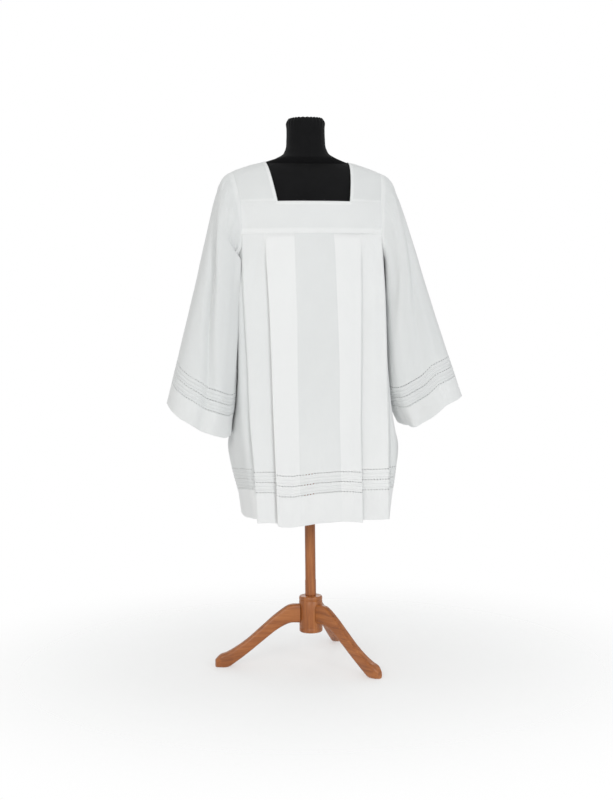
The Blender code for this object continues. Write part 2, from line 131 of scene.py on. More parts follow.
SLEEVE_ROWS = (
    # way down, top line x, y, z, underarm line x, y, z, half depth front, half depth back
    (0.0, 0.2155, 0.0, 1.4245, 0.2165, 0.0, 1.168, 0.08, 0.078),
    (0.03, 0.234, -0.003, 1.414, 0.2215, -0.008, 1.156, 0.082, 0.079),
    (0.07, 0.251, -0.008, 1.394, 0.2235, -0.018, 1.13, 0.084, 0.08),
    (0.12, 0.263, -0.014, 1.362, 0.224, -0.028, 1.09, 0.086, 0.081),
    (0.22, 0.284, -0.028, 1.283, 0.2235, -0.038, 1.02, 0.089, 0.083),
    (0.34, 0.306, -0.042, 1.201, 0.223, -0.046, 0.951, 0.091, 0.086),
    (0.47, 0.33, -0.057, 1.11, 0.223, -0.052, 0.883, 0.093, 0.089),
    (0.6, 0.354, -0.071, 1.022, 0.2235, -0.057, 0.824, 0.095, 0.092),
    (0.72, 0.375, -0.083, 0.946, 0.2255, -0.061, 0.777, 0.096, 0.095),
    (0.82, 0.392, -0.093, 0.887, 0.2295, -0.065, 0.743, 0.097, 0.096),
    (0.91, 0.408, -0.102, 0.832, 0.235, -0.069, 0.715, 0.098, 0.098),
    (1.0, 0.423, -0.11, 0.781, 0.241, -0.073, 0.689, 0.099, 0.099),
)
CUFF_DIP_FRONT = 0.022
CUFF_DIP_BACK = 0.008
SLEEVE_BOXINESS = 0.86
ARMHOLE_FADE = 0.24
RIGHT_SLEEVE_FLUTES = (
    # angle round the sleeve from its top line through the front, width, depth at the cuff
    (136.0, 13.0, 0.004), (222.0, 16.0, 0.011), (268.0, 17.0, 0.016), (316.0, 14.0, 0.01),
)
LEFT_SLEEVE_FLUTES = (
    (116.0, 15.0, 0.012), (222.0, 16.0, 0.013), (262.0, 17.0, 0.014), (310.0, 14.0, 0.01),
)
RIGHT_CUFF_LIFT = (
    # angle, height
    (0.0, -0.004), (22.0, -0.018), (45.0, -0.024), (70.0, -0.018), (95.0, -0.008), (120.0, 0.003),
    (150.0, 0.008), (180.0, 0.002), (270.0, 0.0), (360.0, -0.004),
)
LEFT_CUFF_LIFT = (
    (0.0, 0.0), (20.0, 0.003), (45.0, 0.01), (60.0, 0.018), (75.0, 0.026), (100.0, 0.022), (130.0, 0.02),
    (160.0, 0.022), (180.0, 0.01), (270.0, 0.004), (360.0, 0.0),
)
FLUTE_GROWTH = 1.25
RIGHT_SLEEVE_INNER = {
    # where the inner side is pulled, how much fuller it is, and how far it goes towards the body
    "angle": 150.0,
    "width": 35.0,
    "fuller": 0.22,
    "pull": (
        (0.0, 0.0), (0.05, 0.01), (0.12, 0.014), (0.2, 0.014), (0.3, 0.011), (0.4, 0.006), (0.5, 0.002),
        (0.6, -0.002), (0.72, -0.005), (0.86, -0.009), (1.0, -0.005),
    ),
}
LEFT_SLEEVE_INNER = {
    "angle": 168.0,
    "width": 42.0,
    "fuller": 0.26,
    "pull": (
        (0.0, 0.0), (0.06, 0.006), (0.16, 0.012), (0.3, 0.0135), (0.5, 0.0135), (0.66, 0.009),
        (0.76, 0.001), (0.84, -0.007), (0.92, -0.013), (1.0, -0.018),
    ),
}

# Openwork rows and pin tucks, as distances up from the edge of the cloth
BODY_OPENWORK = (0.083, 0.111, 0.139)
BODY_TUCKS = (0.0923, 0.1017, 0.1203, 0.1297)
SLEEVE_OPENWORK = (0.062, 0.091, 0.12)
SLEEVE_TUCKS = (0.0716, 0.0814, 0.1006, 0.1104)
BODY_BAND = 0.15
SLEEVE_BAND = 0.13
BODY_HEM = 0.079
SLEEVE_HEM = 0.058
HEM_STEP = 0.0004
HEM_INSET = 0.0013
# The fold of a hem: share of its inset, and how far below the edge
HEM_FOLD = ((1.0, 0.0), (0.8, -0.0005), (0.5, -0.0007), (0.2, -0.0005))
BIND_HEIGHT = 0.0004
OPEN_HEIGHT = 0.0022
BAR_PITCH = 0.0082
BAR_WIDTH = 0.0047
BAR_WAIST = 0.0039
BAR_FILL_LAYERED = 1.6
BAR_FILL_OUTER = 0.65
BAR_FILL_INNER = 0.85
BAR_FILL_TOP_ROW = 1.4
UNDER_LIFT = 0.0034
UNDER_LIFT_REACH = 0.3
BAR_DEPTH = 0.0009
SEWN_FLAT = 0.85
SEWN_FLAT_REACH = 0.045
CENTRE_COLUMNS = 20
CENTRE_COLUMNS_INSIDE = 9
LAYER_STEP = 0.0025
TUCK_HEIGHT = 0.001
TUCK_WIDTH = 0.0026

# Dress form
WALL = 0.0012
FORM_CLEARANCE = 0.0017
FORM_CHEST_INSET = 0.006
FORM_SHOULDER_X = 0.207
FORM_EDGE_POWER = 8.0
FORM_ROWS = (
    # height, half width, front depth, back depth
    (1.2, 0.183, 0.116, 0.096), (1.13, 0.172, 0.112, 0.094), (1.06, 0.156, 0.102, 0.088),
    (0.99, 0.146, 0.092, 0.082), (0.92, 0.15, 0.094, 0.086), (0.85, 0.161, 0.102, 0.096),
    (0.79, 0.168, 0.108, 0.102), (0.75, 0.166, 0.107, 0.101), (0.732, 0.158, 0.101, 0.096),
    (0.726, 0.144, 0.09, 0.086),
)
FORM_NECK_ROWS = (
    # height, half width, front depth, back depth
    (1.462, 0.09, 0.064, 0.07), (1.473, 0.069, 0.06, 0.063), (1.488, 0.059, 0.057, 0.058),
    (1.52, 0.0545, 0.0545, 0.0545), (1.554, 0.0535, 0.0535, 0.0535), (1.568, 0.052, 0.052, 0.052),
    (NECK_TOP, 0.046, 0.046, 0.046),
)
FORM_SECTION_POWER = 2.4
# Levels of the shoulders: first, last, how many
FORM_SHOULDER_LEVELS = ((1.216, 1.43, 26), (1.434, 1.45, 5))
FORM_SEAM_DEPTH = 0.0007
FORM_SEAM_WIDTH = 0.0022
NECK_GATHER_START = 1.545
FORM_SIDES = 192
FORM_SEAMS = (0.0, 0.135, 0.25, 0.365, 0.5, 0.64, 0.75, 0.86)
NECK_GATHERS = 26
NECK_GATHER_DEPTH = 0.0022

# Stand
LEG_ANGLES = (-60.0, 60.0, 180.0)
LEG_BOXINESS = 0.55
SHARP_EDGE = 35.0
LEG_ROWS = (
    # distance from the pole, height of the middle, half height, half width
    (0.0344, 0.145, 0.028, 0.013), (0.062, 0.145, 0.027, 0.013), (0.1, 0.126, 0.024, 0.0128),
    (0.145, 0.092, 0.022, 0.0126), (0.19, 0.057, 0.0205, 0.0128), (0.225, 0.034, 0.021, 0.014),
    (0.248, 0.0215, 0.0215, 0.0155), (0.272, 0.017, 0.017, 0.014), (0.284, 0.012, 0.0105, 0.0085),
)
POLE_PROFILE = (
    # radius, height
    (0.015, 0.1963), (0.016, 0.1975), (0.016, 0.24), (0.0152, 0.244), (0.0152, 0.67),
    (0.016, 0.674), (0.016, 0.7245), (0.015, 0.7257),
)
HUB_PROFILE = (
    (0.028, 0.088), (0.0315, 0.089), (0.0335, 0.0915), (0.034, 0.095), (0.034, 0.1),
    (0.0332, 0.1014), (0.0332, 0.1026), (0.034, 0.104), (0.034, 0.18), (0.0332, 0.1814),
    (0.0332, 0.1826), (0.034, 0.184), (0.034, 0.189), (0.0335, 0.1925), (0.0315, 0.195), (0.028, 0.196),
)

# Neck edge and seams
NECK_ROLL = 0.001
NECK_TURNING_WIDTH = 0.007
NECK_TURNING_SHARE = 0.085
YOKE_TURNING = 0.0001
SEAM_LAP = 0.0008
SEAM_ROLL = 0.0007
SEAM_ROLL_OFFSET = 0.0001
SEAM_ALLOWANCE = 0.014

# Colours
CLOTH_SINGLE = (0.755, 0.768, 0.768)
CLOTH_DOUBLE = (0.945, 0.951, 0.949)
WOOD_DARK = (0.2, 0.058, 0.014)
WOOD_MIDDLE = (0.4, 0.125, 0.028)
WOOD_LIGHT = (0.54, 0.2, 0.055)

# Camera
CAMERA_AZIMUTH = -12.0
CAMERA_DISTANCE = 4.0
CAMERA_HEIGHT = 1.03
CAMERA_PITCH = 3.73
CAMERA_ROLL = 0.0113
CAMERA_OFFSET = 0.0058
VIEW_HEIGHT = 2.32

# Light
WORLD_STRENGTH = 0.66
WORLD_COLOUR = (0.985, 0.995, 0.99, 1.0)
FLOOR_FADE = (0.35, 1.3)
FLOOR_CLEAR = 0.45
LIGHTS = (
    # name, place, target, size, power, colour
    ("key", (-2.0, -3.9, 2.2), (0.0, 0.0, 0.9), 1.4, 41.0, (1.0, 0.988, 0.96)),
    ("fill", (1.7, -4.1, 2.0), (0.0, 0.0, 0.9), 1.4, 32.0, (0.935, 0.97, 1.0)),
    ("back", (0.8, 4.2, 2.6), (0.0, 0.0, 0.9), 2.0, 26.0, (1.0, 1.0, 1.0)),
)

# Machine stitches
STITCH_PITCH = 0.0031
STITCH_LENGTH = 0.0023
STITCH_WIDTH = 0.0004

# Rows above the openwork, and how far the corner folds wander
PANEL_ROWS = 88
SLEEVE_ROW_COUNT = 84
SLEEVE_SIDES = 128
FOLD_WANDER = 0.0012

# Folds placed one by one, as ridges above 0 and valleys below 0
FRONT_CREASES = (
    # from x, z to x, z, width, height
    (-0.15, 1.236, -0.186, 1.04, 0.01, -0.0026), (-0.172, 1.22, -0.199, 1.1, 0.01, 0.0018),
    (-0.16, 1.08, -0.176, 0.7, 0.012, 0.0014), (-0.185, 0.86, -0.18, 0.56, 0.01, -0.0012),
    (0.15, 1.238, 0.178, 1.11, 0.008, -0.002), (0.163, 1.24, 0.2, 1.17, 0.006, -0.0018),
    (0.172, 1.243, 0.198, 1.214, 0.004, 0.0016), (0.176, 1.15, 0.17, 0.84, 0.013, 0.002),
    (0.19, 1.12, 0.186, 0.78, 0.009, -0.0014), (0.158, 0.9, 0.164, 0.52, 0.01, -0.0013),
    (-0.098, 1.2, -0.088, 0.7, 0.02, 0.0012), (0.1, 1.15, 0.086, 0.66, 0.022, 0.0014),
    (-0.04, 1.0, -0.03, 0.56, 0.02, -0.0012), (0.028, 1.06, 0.04, 0.62, 0.018, 0.0011),
    (-0.08, 0.64, -0.084, 0.43, 0.016, 0.003), (-0.048, 0.6, -0.04, 0.43, 0.016, -0.0026),
    (0.01, 0.64, 0.012, 0.43, 0.018, 0.003), (0.062, 0.62, 0.058, 0.43, 0.014, -0.0022),
    (0.096, 0.6, 0.092, 0.43, 0.012, 0.0018), (-0.16, 0.6, -0.164, 0.43, 0.012, 0.0018),
    (0.162, 0.56, 0.158, 0.43, 0.012, 0.0016),
)
BACK_CREASES = (
    (-0.158, 1.236, -0.184, 1.08, 0.01, -0.0022), (0.15, 1.236, 0.18, 1.02, 0.011, -0.0026),
    (0.17, 1.22, 0.188, 1.12, 0.009, 0.0016), (-0.15, 1.06, -0.16, 0.72, 0.013, 0.0018),
    (0.16, 1.0, 0.15, 0.64, 0.012, 0.0016), (-0.09, 1.18, -0.08, 0.68, 0.022, 0.0014),
    (0.092, 1.12, 0.084, 0.64, 0.02, 0.0012), (0.02, 1.04, 0.01, 0.6, 0.02, -0.0014),
    (-0.07, 0.66, -0.074, 0.43, 0.017, 0.003), (-0.018, 0.62, -0.012, 0.43, 0.016, -0.0026),
    (0.044, 0.64, 0.05, 0.43, 0.017, 0.003), (0.094, 0.6, 0.09, 0.43, 0.012, -0.002),
    (-0.148, 0.6, -0.15, 0.43, 0.012, 0.0018),
)
SIDE_CREASES_FRONT = (
    # from way round, z to way round, z, width, height: -1 and 1 are the side seams
    (-0.4, 1.0, -0.44, 0.62, 0.13, 0.006), (-0.58, 0.72, -0.64, 0.46, 0.08, -0.005),
    (-0.82, 0.96, -0.85, 0.46, 0.09, 0.004), (0.44, 0.9, 0.46, 0.5, 0.13, 0.008),
    (0.64, 0.72, 0.68, 0.46, 0.08, -0.0046), (0.84, 0.9, 0.88, 0.46, 0.08, 0.0036),
)
SIDE_CREASES_BACK = (
    (-0.32, 1.12, -0.38, 0.6, 0.11, 0.0034), (-0.64, 1.02, -0.7, 0.48, 0.1, -0.0044),
    (0.36, 1.14, 0.42, 0.64, 0.1, 0.003), (0.68, 0.98, 0.72, 0.48, 0.11, -0.0048),
)
HEM_LIFT_FRONT = (
    # x, height
    (-0.2, 0.001), (-0.15, 0.001), (-0.128, -0.001), (-0.11, -0.006), (-0.075, -0.006), (-0.04, -0.001),
    (-0.005, 0.006), (0.045, 0.007), (0.09, 0.002), (0.12, -0.004), (0.15, -0.004), (0.2, -0.003),
)
PLEAT_SHIFT_RIGHT = (
    # height, sideways
    (0.444, -0.0135), (0.7, -0.0085), (1.0, -0.002), (1.245, -0.0015),
)
PLEAT_SHIFT_LEFT = (
    (0.444, -0.0135), (0.7, -0.0165), (1.0, -0.012), (1.245, -0.0085),
)
INNER_SHIFT_RIGHT = ((0.444, 0.0), (0.86, 0.0), (1.245, 0.004))
INNER_SHIFT_LEFT = ((0.444, 0.012), (0.86, 0.012), (1.245, -0.003))
SHIFT_BLEND = 0.05
RIGHT_CREVICE = 0.004
LEFT_HOLLOW = 0.005
LEFT_HOLLOW_REACH = 0.45
CORNER_TUCK = (
    # height, how far the side is tucked in behind the corner fold
    (0.444, 0.016), (0.8, 0.015), (1.08, 0.011), (1.2, 0.004), (1.245, 0.0),
)
CORNER_TUCK_REACH = 0.065
SIDE_HEM_LIFT = 0.01
SIDE_HEM_STEP = 0.12
SIDE_SWELL_RIGHT = (
    # height, how much further out the side hangs
    (0.54, 0.0), (0.62, 0.003), (0.68, 0.01), (0.73, 0.017), (0.79, 0.014), (0.87, 0.006), (0.96, 0.0),
)
SIDE_SWELL_LEFT = (
    (0.45, 0.0), (0.54, 0.006), (0.6, 0.009), (0.68, 0.009), (0.76, 0.005), (0.86, 0.0),
)
SIDE_FRONT_SWELL_RIGHT = (
    (0.64, 0.0), (0.74, 0.005), (0.8, 0.008), (0.88, 0.012), (0.98, 0.013), (1.07, 0.009), (1.13, 0.003),
    (1.165, 0.0),
)
SWELL_START = 0.15
SWELL_END = 0.75
CORNER_SHIFT_RIGHT = ((0.444, 0.0), (0.9, 0.001), (1.06, -0.005), (1.16, -0.003), (1.245, 0.0))
HEM_LIFT_BACK = (
    (-0.2, 0.002), (-0.12, 0.0), (-0.07, -0.004), (-0.01, 0.003), (0.04, 0.004), (0.09, -0.003),
    (0.15, 0.001), (0.2, 0.003),
)
LEFT_SLEEVE_CREASES = (
    # from angle, way to angle, way, width, height: angles in turns from the top line through the front
    (0.12, 0.12, 0.105, 0.95, 0.024, 0.0016), (0.175, 0.3, 0.16, 0.95, 0.02, 0.0016),
    (0.395, 0.06, 0.385, 0.98, 0.02, 0.004), (0.455, 0.1, 0.45, 0.98, 0.016, -0.003),
    (0.58, 0.2, 0.59, 1.0, 0.022, 0.005), (0.66, 0.16, 0.672, 1.0, 0.02, -0.004),
    (0.745, 0.1, 0.748, 0.98, 0.022, 0.005), (0.83, 0.12, 0.826, 1.0, 0.02, -0.004),
    (0.915, 0.1, 0.922, 1.0, 0.02, 0.004),
)
RIGHT_SLEEVE_CREASES = (
    (0.06, 0.16, 0.06, 0.95, 0.024, 0.0014), (0.08, 0.35, 0.085, 0.98, 0.03, 0.0016),
    (0.29, 0.06, 0.3, 0.94, 0.024, 0.0034), (0.43, 0.08, 0.425, 1.0, 0.018, -0.003),
    (0.57, 0.2, 0.575, 1.0, 0.022, 0.005), (0.64, 0.16, 0.655, 1.0, 0.02, -0.005),
    (0.73, 0.1, 0.74, 0.98, 0.022, 0.006), (0.815, 0.12, 0.82, 1.0, 0.02, -0.004),
    (0.905, 0.1, 0.91, 1.0, 0.02, 0.005),
)
RIGHT_SLEEVE_FOLDS = (
    # widths before and after the line, then way, angle and height down the fold
    (0.034, 0.026, (
        (0.06, 0.005, 0.0), (0.125, 0.031, -0.008), (0.23, 0.091, -0.015), (0.355, 0.145, -0.019),
        (0.46, 0.166, -0.0205), (0.6, 0.197, -0.02), (0.71, 0.225, -0.0175), (0.815, 0.24, -0.014),
        (1.0, 0.236, -0.014),
    )),
    (0.022, 0.05, (
        (0.08, 0.075, 0.0), (0.23, 0.135, 0.0034), (0.355, 0.188, 0.0044), (0.6, 0.238, 0.0042),
        (0.815, 0.286, 0.0028), (1.0, 0.286, 0.001),
    )),
    (0.03, 0.024, (
        (0.0, 0.43, 0.0), (0.03, 0.385, -0.015), (0.07, 0.322, -0.019), (0.105, 0.264, -0.012),
        (0.16, 0.205, -0.004), (0.22, 0.17, 0.0),
    )),
    (0.04, 0.03, (
        (0.0, 0.3, 0.0), (0.04, 0.25, 0.005), (0.08, 0.2, 0.008), (0.14, 0.15, 0.004), (0.2, 0.13, 0.0),
    )),
    (0.036, 0.024, (
        (0.08, 0.93, 0.0), (0.2, 0.872, -0.007), (0.4, 0.8, -0.012), (0.65, 0.748, -0.013),
        (1.0, 0.722, -0.01),
    )),
    (0.026, 0.034, (
        (0.2, 0.69, 0.0), (0.45, 0.668, -0.006), (0.75, 0.655, -0.009), (1.0, 0.65, -0.009),
    )),
)
LEFT_SLEEVE_FOLDS = (
    (0.05, 0.034, (
        (0.08, 0.08, 0.0), (0.2, 0.135, -0.006), (0.265, 0.158, -0.008), (0.4, 0.21, -0.009),
        (0.615, 0.248, -0.0086), (0.765, 0.255, -0.006), (1.0, 0.27, -0.003),
    )),
    (0.04, 0.034, (
        (0.04, 0.19, 0.0), (0.145, 0.244, 0.003), (0.36, 0.345, 0.0046), (0.655, 0.345, 0.0046),
        (1.0, 0.37, 0.003),
    )),
    (0.024, 0.038, (
        (0.1, 0.95, 0.0), (0.25, 0.862, -0.006), (0.5, 0.79, -0.011), (0.75, 0.762, -0.012),
        (1.0, 0.745, -0.009),
    )),
    (0.03, 0.026, (
        (0.28, 0.9, 0.0), (0.5, 0.868, -0.005), (0.8, 0.85, -0.007), (1.0, 0.846, -0.006),
    )),
)
SLEEVE_HEAD_CREASES = (
    (0.02, 0.0, 0.03, 0.1, 0.01, 0.0022), (0.07, 0.0, 0.09, 0.13, 0.01, -0.0024),
    (0.12, 0.0, 0.13, 0.12, 0.009, 0.0024), (0.17, 0.0, 0.19, 0.15, 0.01, -0.0022),
    (0.22, 0.01, 0.23, 0.14, 0.01, 0.002), (0.78, 0.0, 0.77, 0.14, 0.01, -0.002),
    (0.84, 0.0, 0.83, 0.12, 0.01, 0.0022), (0.9, 0.0, 0.89, 0.13, 0.009, -0.0022),
    (0.95, 0.0, 0.95, 0.11, 0.01, 0.0022),
)
YOKE_CREASES = (
    # from x, z to x, z, width, height
    (-0.19, 1.33, -0.196, 1.256, 0.006, -0.0016), (-0.196, 1.34, -0.15, 1.3, 0.01, 0.0012),
    (0.196, 1.252, 0.17, 1.262, 0.004, 0.0016), (0.2, 1.262, 0.176, 1.274, 0.004, -0.0014),
    (0.198, 1.3, 0.186, 1.33, 0.007, 0.0014), (-0.06, 1.3, 0.03, 1.306, 0.008, 0.0007),
    (0.06, 1.282, 0.13, 1.288, 0.007, -0.0006),
)


def read(rows, column, values):
    """A column of a table read at values of its first column, on a smooth curve through the rows."""
    ordered = sorted(rows)
    steps = np.array([row[0] for row in ordered])
    numbers = np.array([row[column] for row in ordered])
    slopes = np.gradient(numbers, steps)
    values = np.clip(np.asarray(values, dtype=float), steps[0], steps[-1])
    i = np.clip(np.searchsorted(steps, values, side="right") - 1, 0, len(steps) - 2)
    width = steps[i + 1] - steps[i]
    t = (values - steps[i]) / width
    start = (2 * t**3 - 3 * t**2 + 1) * numbers[i] + (t**3 - 2 * t**2 + t) * width * slopes[i]
    end = (3 * t**2 - 2 * t**3) * numbers[i + 1] + (t**3 - t**2) * width * slopes[i + 1]
    return start + end


def ease(t):
    """0 to 1 with level ends."""
    t = np.clip(t, 0.0, 1.0)
    return t * t * (3 - 2 * t)


def ridge_height(x):
    out = np.abs(x) - NECK_RIDGE_X
    return SHOULDER_TOP - SHOULDER_SLOPE * out - SHOULDER_CURVE * out * out


def chest_depth(x, front):
    share = (np.abs(x) / YOKE_END_X) ** DEPTH_POWER
    return FRONT_DEPTH - FRONT_DEPTH_LOSS * share if front else BACK_DEPTH - BACK_DEPTH_LOSS * share


def lean_at(x, z):
    rise = (z - YOKE_BOTTOM) / (ridge_height(x) - YOKE_BOTTOM)
    return np.arccos(np.clip(rise, -1.0, 1.0))


def arch(x, lean, front):
    """Points of the cloth over the shoulders: lean is 0 on the ridge, above 0 in front, below 0 behind."""
    height = YOKE_BOTTOM + (ridge_height(x) - YOKE_BOTTOM) * np.cos(lean)
    return np.stack([x, -chest_depth(x, front) * np.sin(lean), height], axis=-1)


def yoke_grid(front, columns=96, rows=26):
    """The band across the chest or the back, from its lower to its upper edge."""
    top = FRONT_YOKE_TOP if front else BACK_YOKE_TOP
    xs = np.linspace(-YOKE_END_X, YOKE_END_X, columns + 1)[None, :]
    bottom = YOKE_BOTTOM - SEAM_LAP
    tops = np.where(np.abs(xs) > NECK_CORNER_X, top + SEAM_LAP, top)
    heights = bottom + (tops - bottom) * np.linspace(0, 1, rows + 1)[:, None]
    xs = np.broadcast_to(xs, heights.shape)
    sign = 1 if front else -1
    return arch(xs, sign * lean_at(xs, heights), front)


def strap_grid(columns=30, rows=80):
    """The wearer's left shoulder strap, from the back seam over the ridge to the front seam."""
    share = np.linspace(-1, 1, rows + 1)[:, None]
    across = np.linspace(0, 1, columns + 1)[None, :]
    inner = NECK_RIDGE_X - (NECK_RIDGE_X - NECK_CORNER_X) * share**2
    outer = ARMHOLE_RIDGE_X - (ARMHOLE_RIDGE_X - YOKE_END_X) * share**2
    x = inner + (outer - inner) * across
    x_at_seam = NECK_CORNER_X + (YOKE_END_X - NECK_CORNER_X) * across
    seam = np.where(share > 0, FRONT_YOKE_TOP, BACK_YOKE_TOP) + SEAM_GAP / 2
    lean = share * lean_at(x_at_seam, seam)
    return np.where((share > 0)[..., None], arch(x, lean, True), arch(x, lean, False))


def wave(x, z, waves):
    fade = ease((WAVE_START - z) / (WAVE_START - HEM))
    return fade * sum(depth * np.sin(2 * math.pi * x / length + phase) for length, phase, depth in waves)


class Section:
    """Level sections of a skirt panel, for arrays of heights and sides."""

    def __init__(self, z, side, front):
        rows = FRONT_ROWS if front else BACK_ROWS
        self.z = z
        self.side = side
        self.sign = -1 if front else 1
        self.waves = FRONT_WAVES if front else BACK_WAVES
        self.depth, self.fold_x, self.fold_depth, self.seam_x, self.bulge = (
            read(rows, column, z) for column in range(1, 6)
        )
        self.edge, self.inner, self.layer = (read(PLEAT_ROWS, column, z) for column in range(1, 4))

    def base(self, x):
        share = np.abs(x / self.fold_x) ** DEPTH_POWER
        depth = self.depth - (self.depth - self.fold_depth) * share
        depth = depth + wave(self.side * x, self.z, self.waves) * (1 - ease((x / self.fold_x - 0.8) / 0.2))
        return np.stack([x, depth], axis=-1)

    def out(self, x, distance):
        run = self.base(x + 0.001) - self.base(x - 0.001)
        normal = np.stack([-run[..., 1], run[..., 0]], axis=-1)
        normal = normal / np.linalg.norm(normal, axis=-1, keepdims=True)
        return self.base(x) + distance[..., None] * normal

    def round_side(self, share):
        fold = self.base(self.fold_x)
        run = fold - self.base(self.fold_x - 0.002)
        run = run / np.linalg.norm(run, axis=-1, keepdims=True)
        seam = np.stack([self.seam_x, np.full_like(self.seam_x, SEAM_GAP / 2)], axis=-1)
        reach = np.linalg.norm(seam - fold, axis=-1)
        first = fold + run * (reach * CORNER_EASE)[..., None]
        second = seam + np.stack([self.bulge, reach * SIDE_EASE], axis=-1)
        t = share[..., None]
        start = (1 - t) ** 3 * fold + 3 * (1 - t) ** 2 * t * first
        return start + 3 * (1 - t) * t * t * second + t**3 * seam


PARTS = ("centre", "edge turn", "under", "inner turn", "behind", "panel", "side")
CENTRE, _, UNDER, INNER_TURN, BEHIND, PANEL, SIDE = range(len(PARTS))


def column_plan(under=12, panel=14, around=26, turn=8):
    """The columns of half a panel from the centre line to the side seam, each as (part, share)."""
    plan = [("centre", i / CENTRE_COLUMNS) for i in range(CENTRE_COLUMNS)]
    plan += [("edge turn", i / turn) for i in range(turn + 1)]
    plan += [("under", i / under) for i in range(1, under)]
    plan += [("inner turn", i / turn) for i in range(turn + 1)]
    plan += [("behind", i / under) for i in range(1, under + 1)]
    plan += [("panel", i / panel) for i in range(1, panel + 1)]
    plan += [("side", i / around) for i in range(1, around + 1)]
    return plan


def pleat_front_x(share, inner, edge):
    """x on the pleat's front, with two columns close together where the cloth gets three layers deep."""
    column = share * CENTRE_COLUMNS
    first = CENTRE_COLUMNS_INSIDE + 1
    beyond = (column - first) / (CENTRE_COLUMNS - first)
    start = inner + LAYER_STEP
    return np.where(column < first - 0.5, inner * column / (first - 1), start + (edge - start) * beyond)


def column_hem(part, share, front):
    dip = FRONT_HEM_DIP if front else BACK_HEM_DIP
    if part == "centre":
        return HEM - dip * (1 - 0.5 * share * share)
    if part in ("edge turn", "under", "inner turn"):
        return HEM - dip * 0.5
    if part == "behind":
        return HEM - dip * 0.5 * (1 - share)
    return HEM


def panel_base(front, low, up):
    """A skirt panel's smooth surface: rows at distances low above the hem, then at shares up."""
    plan = column_plan()
    halves = [(-1, column) for column in reversed(plan)] + [(1, column) for column in plan[1:]]
    side = np.array([half[0] for half in halves], dtype=float)[None, :]
    part = np.array([PARTS.index(half[1][0]) for half in halves])[None, :]
    share = np.array([half[1][1] for half in halves])[None, :]
    hems = np.array([column_hem(half[1][0], half[1][1], front) for half in halves])[None, :]
    side_top = YOKE_BOTTOM - (YOKE_BOTTOM - ARMPIT) * np.sin(share * math.pi / 2)
    tops = np.where(part == SIDE, side_top, YOKE_BOTTOM) - SEAM_GAP / 2
    lower = hems + low[:, None]
    z = np.concatenate([lower, lower[-1:] + (tops - lower[-1:]) * up[:, None]])
    side, part, share = (np.broadcast_to(a, z.shape) for a in (side, part, share))
    section = Section(z, side, front)
    section.layer = section.layer * (1 - SEWN_FLAT * (1 - ease((YOKE_BOTTOM - z) / SEWN_FLAT_REACH)))
    bend = section.layer / 2
    edge = section.edge - bend
    inner = section.inner + bend
    angle = math.pi * (0.5 - share)
    panel_x = section.edge + (section.fold_x - section.edge) * share
    places = (
        (pleat_front_x(share, inner, edge), section.layer),
        (edge + bend * np.cos(angle), bend + bend * np.sin(angle)),
        (edge + (inner - edge) * share, np.zeros_like(z)),
        (inner - bend * np.cos(angle), bend * np.sin(angle) - bend),
        (inner + (section.edge - inner) * share, -section.layer),
        (panel_x, -section.layer * (1 - ease(share))),
    )
    flat = section.round_side(1 - np.cos(share * math.pi / 2))
    for number, (x, distance) in enumerate(places):
        flat = np.where((part == number)[..., None], section.out(x, distance), flat)
    grid = np.stack([side * flat[..., 0], section.sign * flat[..., 1], z], axis=-1)
    return grid, part[0], share[0]


def armhole_line(front, steps=40):
    """The edge of the armhole from the shoulder ridge down to the armpit, on the left side."""
    sign = 1 if front else -1
    seam = FRONT_YOKE_TOP if front else BACK_YOKE_TOP
    share = np.linspace(0, 1, steps + 1)
    x = ARMHOLE_RIDGE_X - (ARMHOLE_RIDGE_X - YOKE_END_X) * share**2
    strap = arch(x, sign * share * lean_at(YOKE_END_X, seam), front)
    heights = np.linspace(seam, YOKE_BOTTOM, 12)[1:]
    xs = np.full_like(heights, YOKE_END_X)
    yoke = arch(xs, sign * lean_at(xs, heights), front)
    share = np.linspace(0, 1, steps + 1)[1:]
    z = YOKE_BOTTOM - SEAM_GAP / 2 - (YOKE_BOTTOM - ARMPIT) * np.sin(share * math.pi / 2)
    section = Section(z, np.ones_like(z), front)
    flat = section.round_side(1 - np.cos(share * math.pi / 2))
    skirt = np.stack([flat[:, 0], section.sign * flat[:, 1], z], axis=-1)
    return np.concatenate([strap, yoke, skirt])


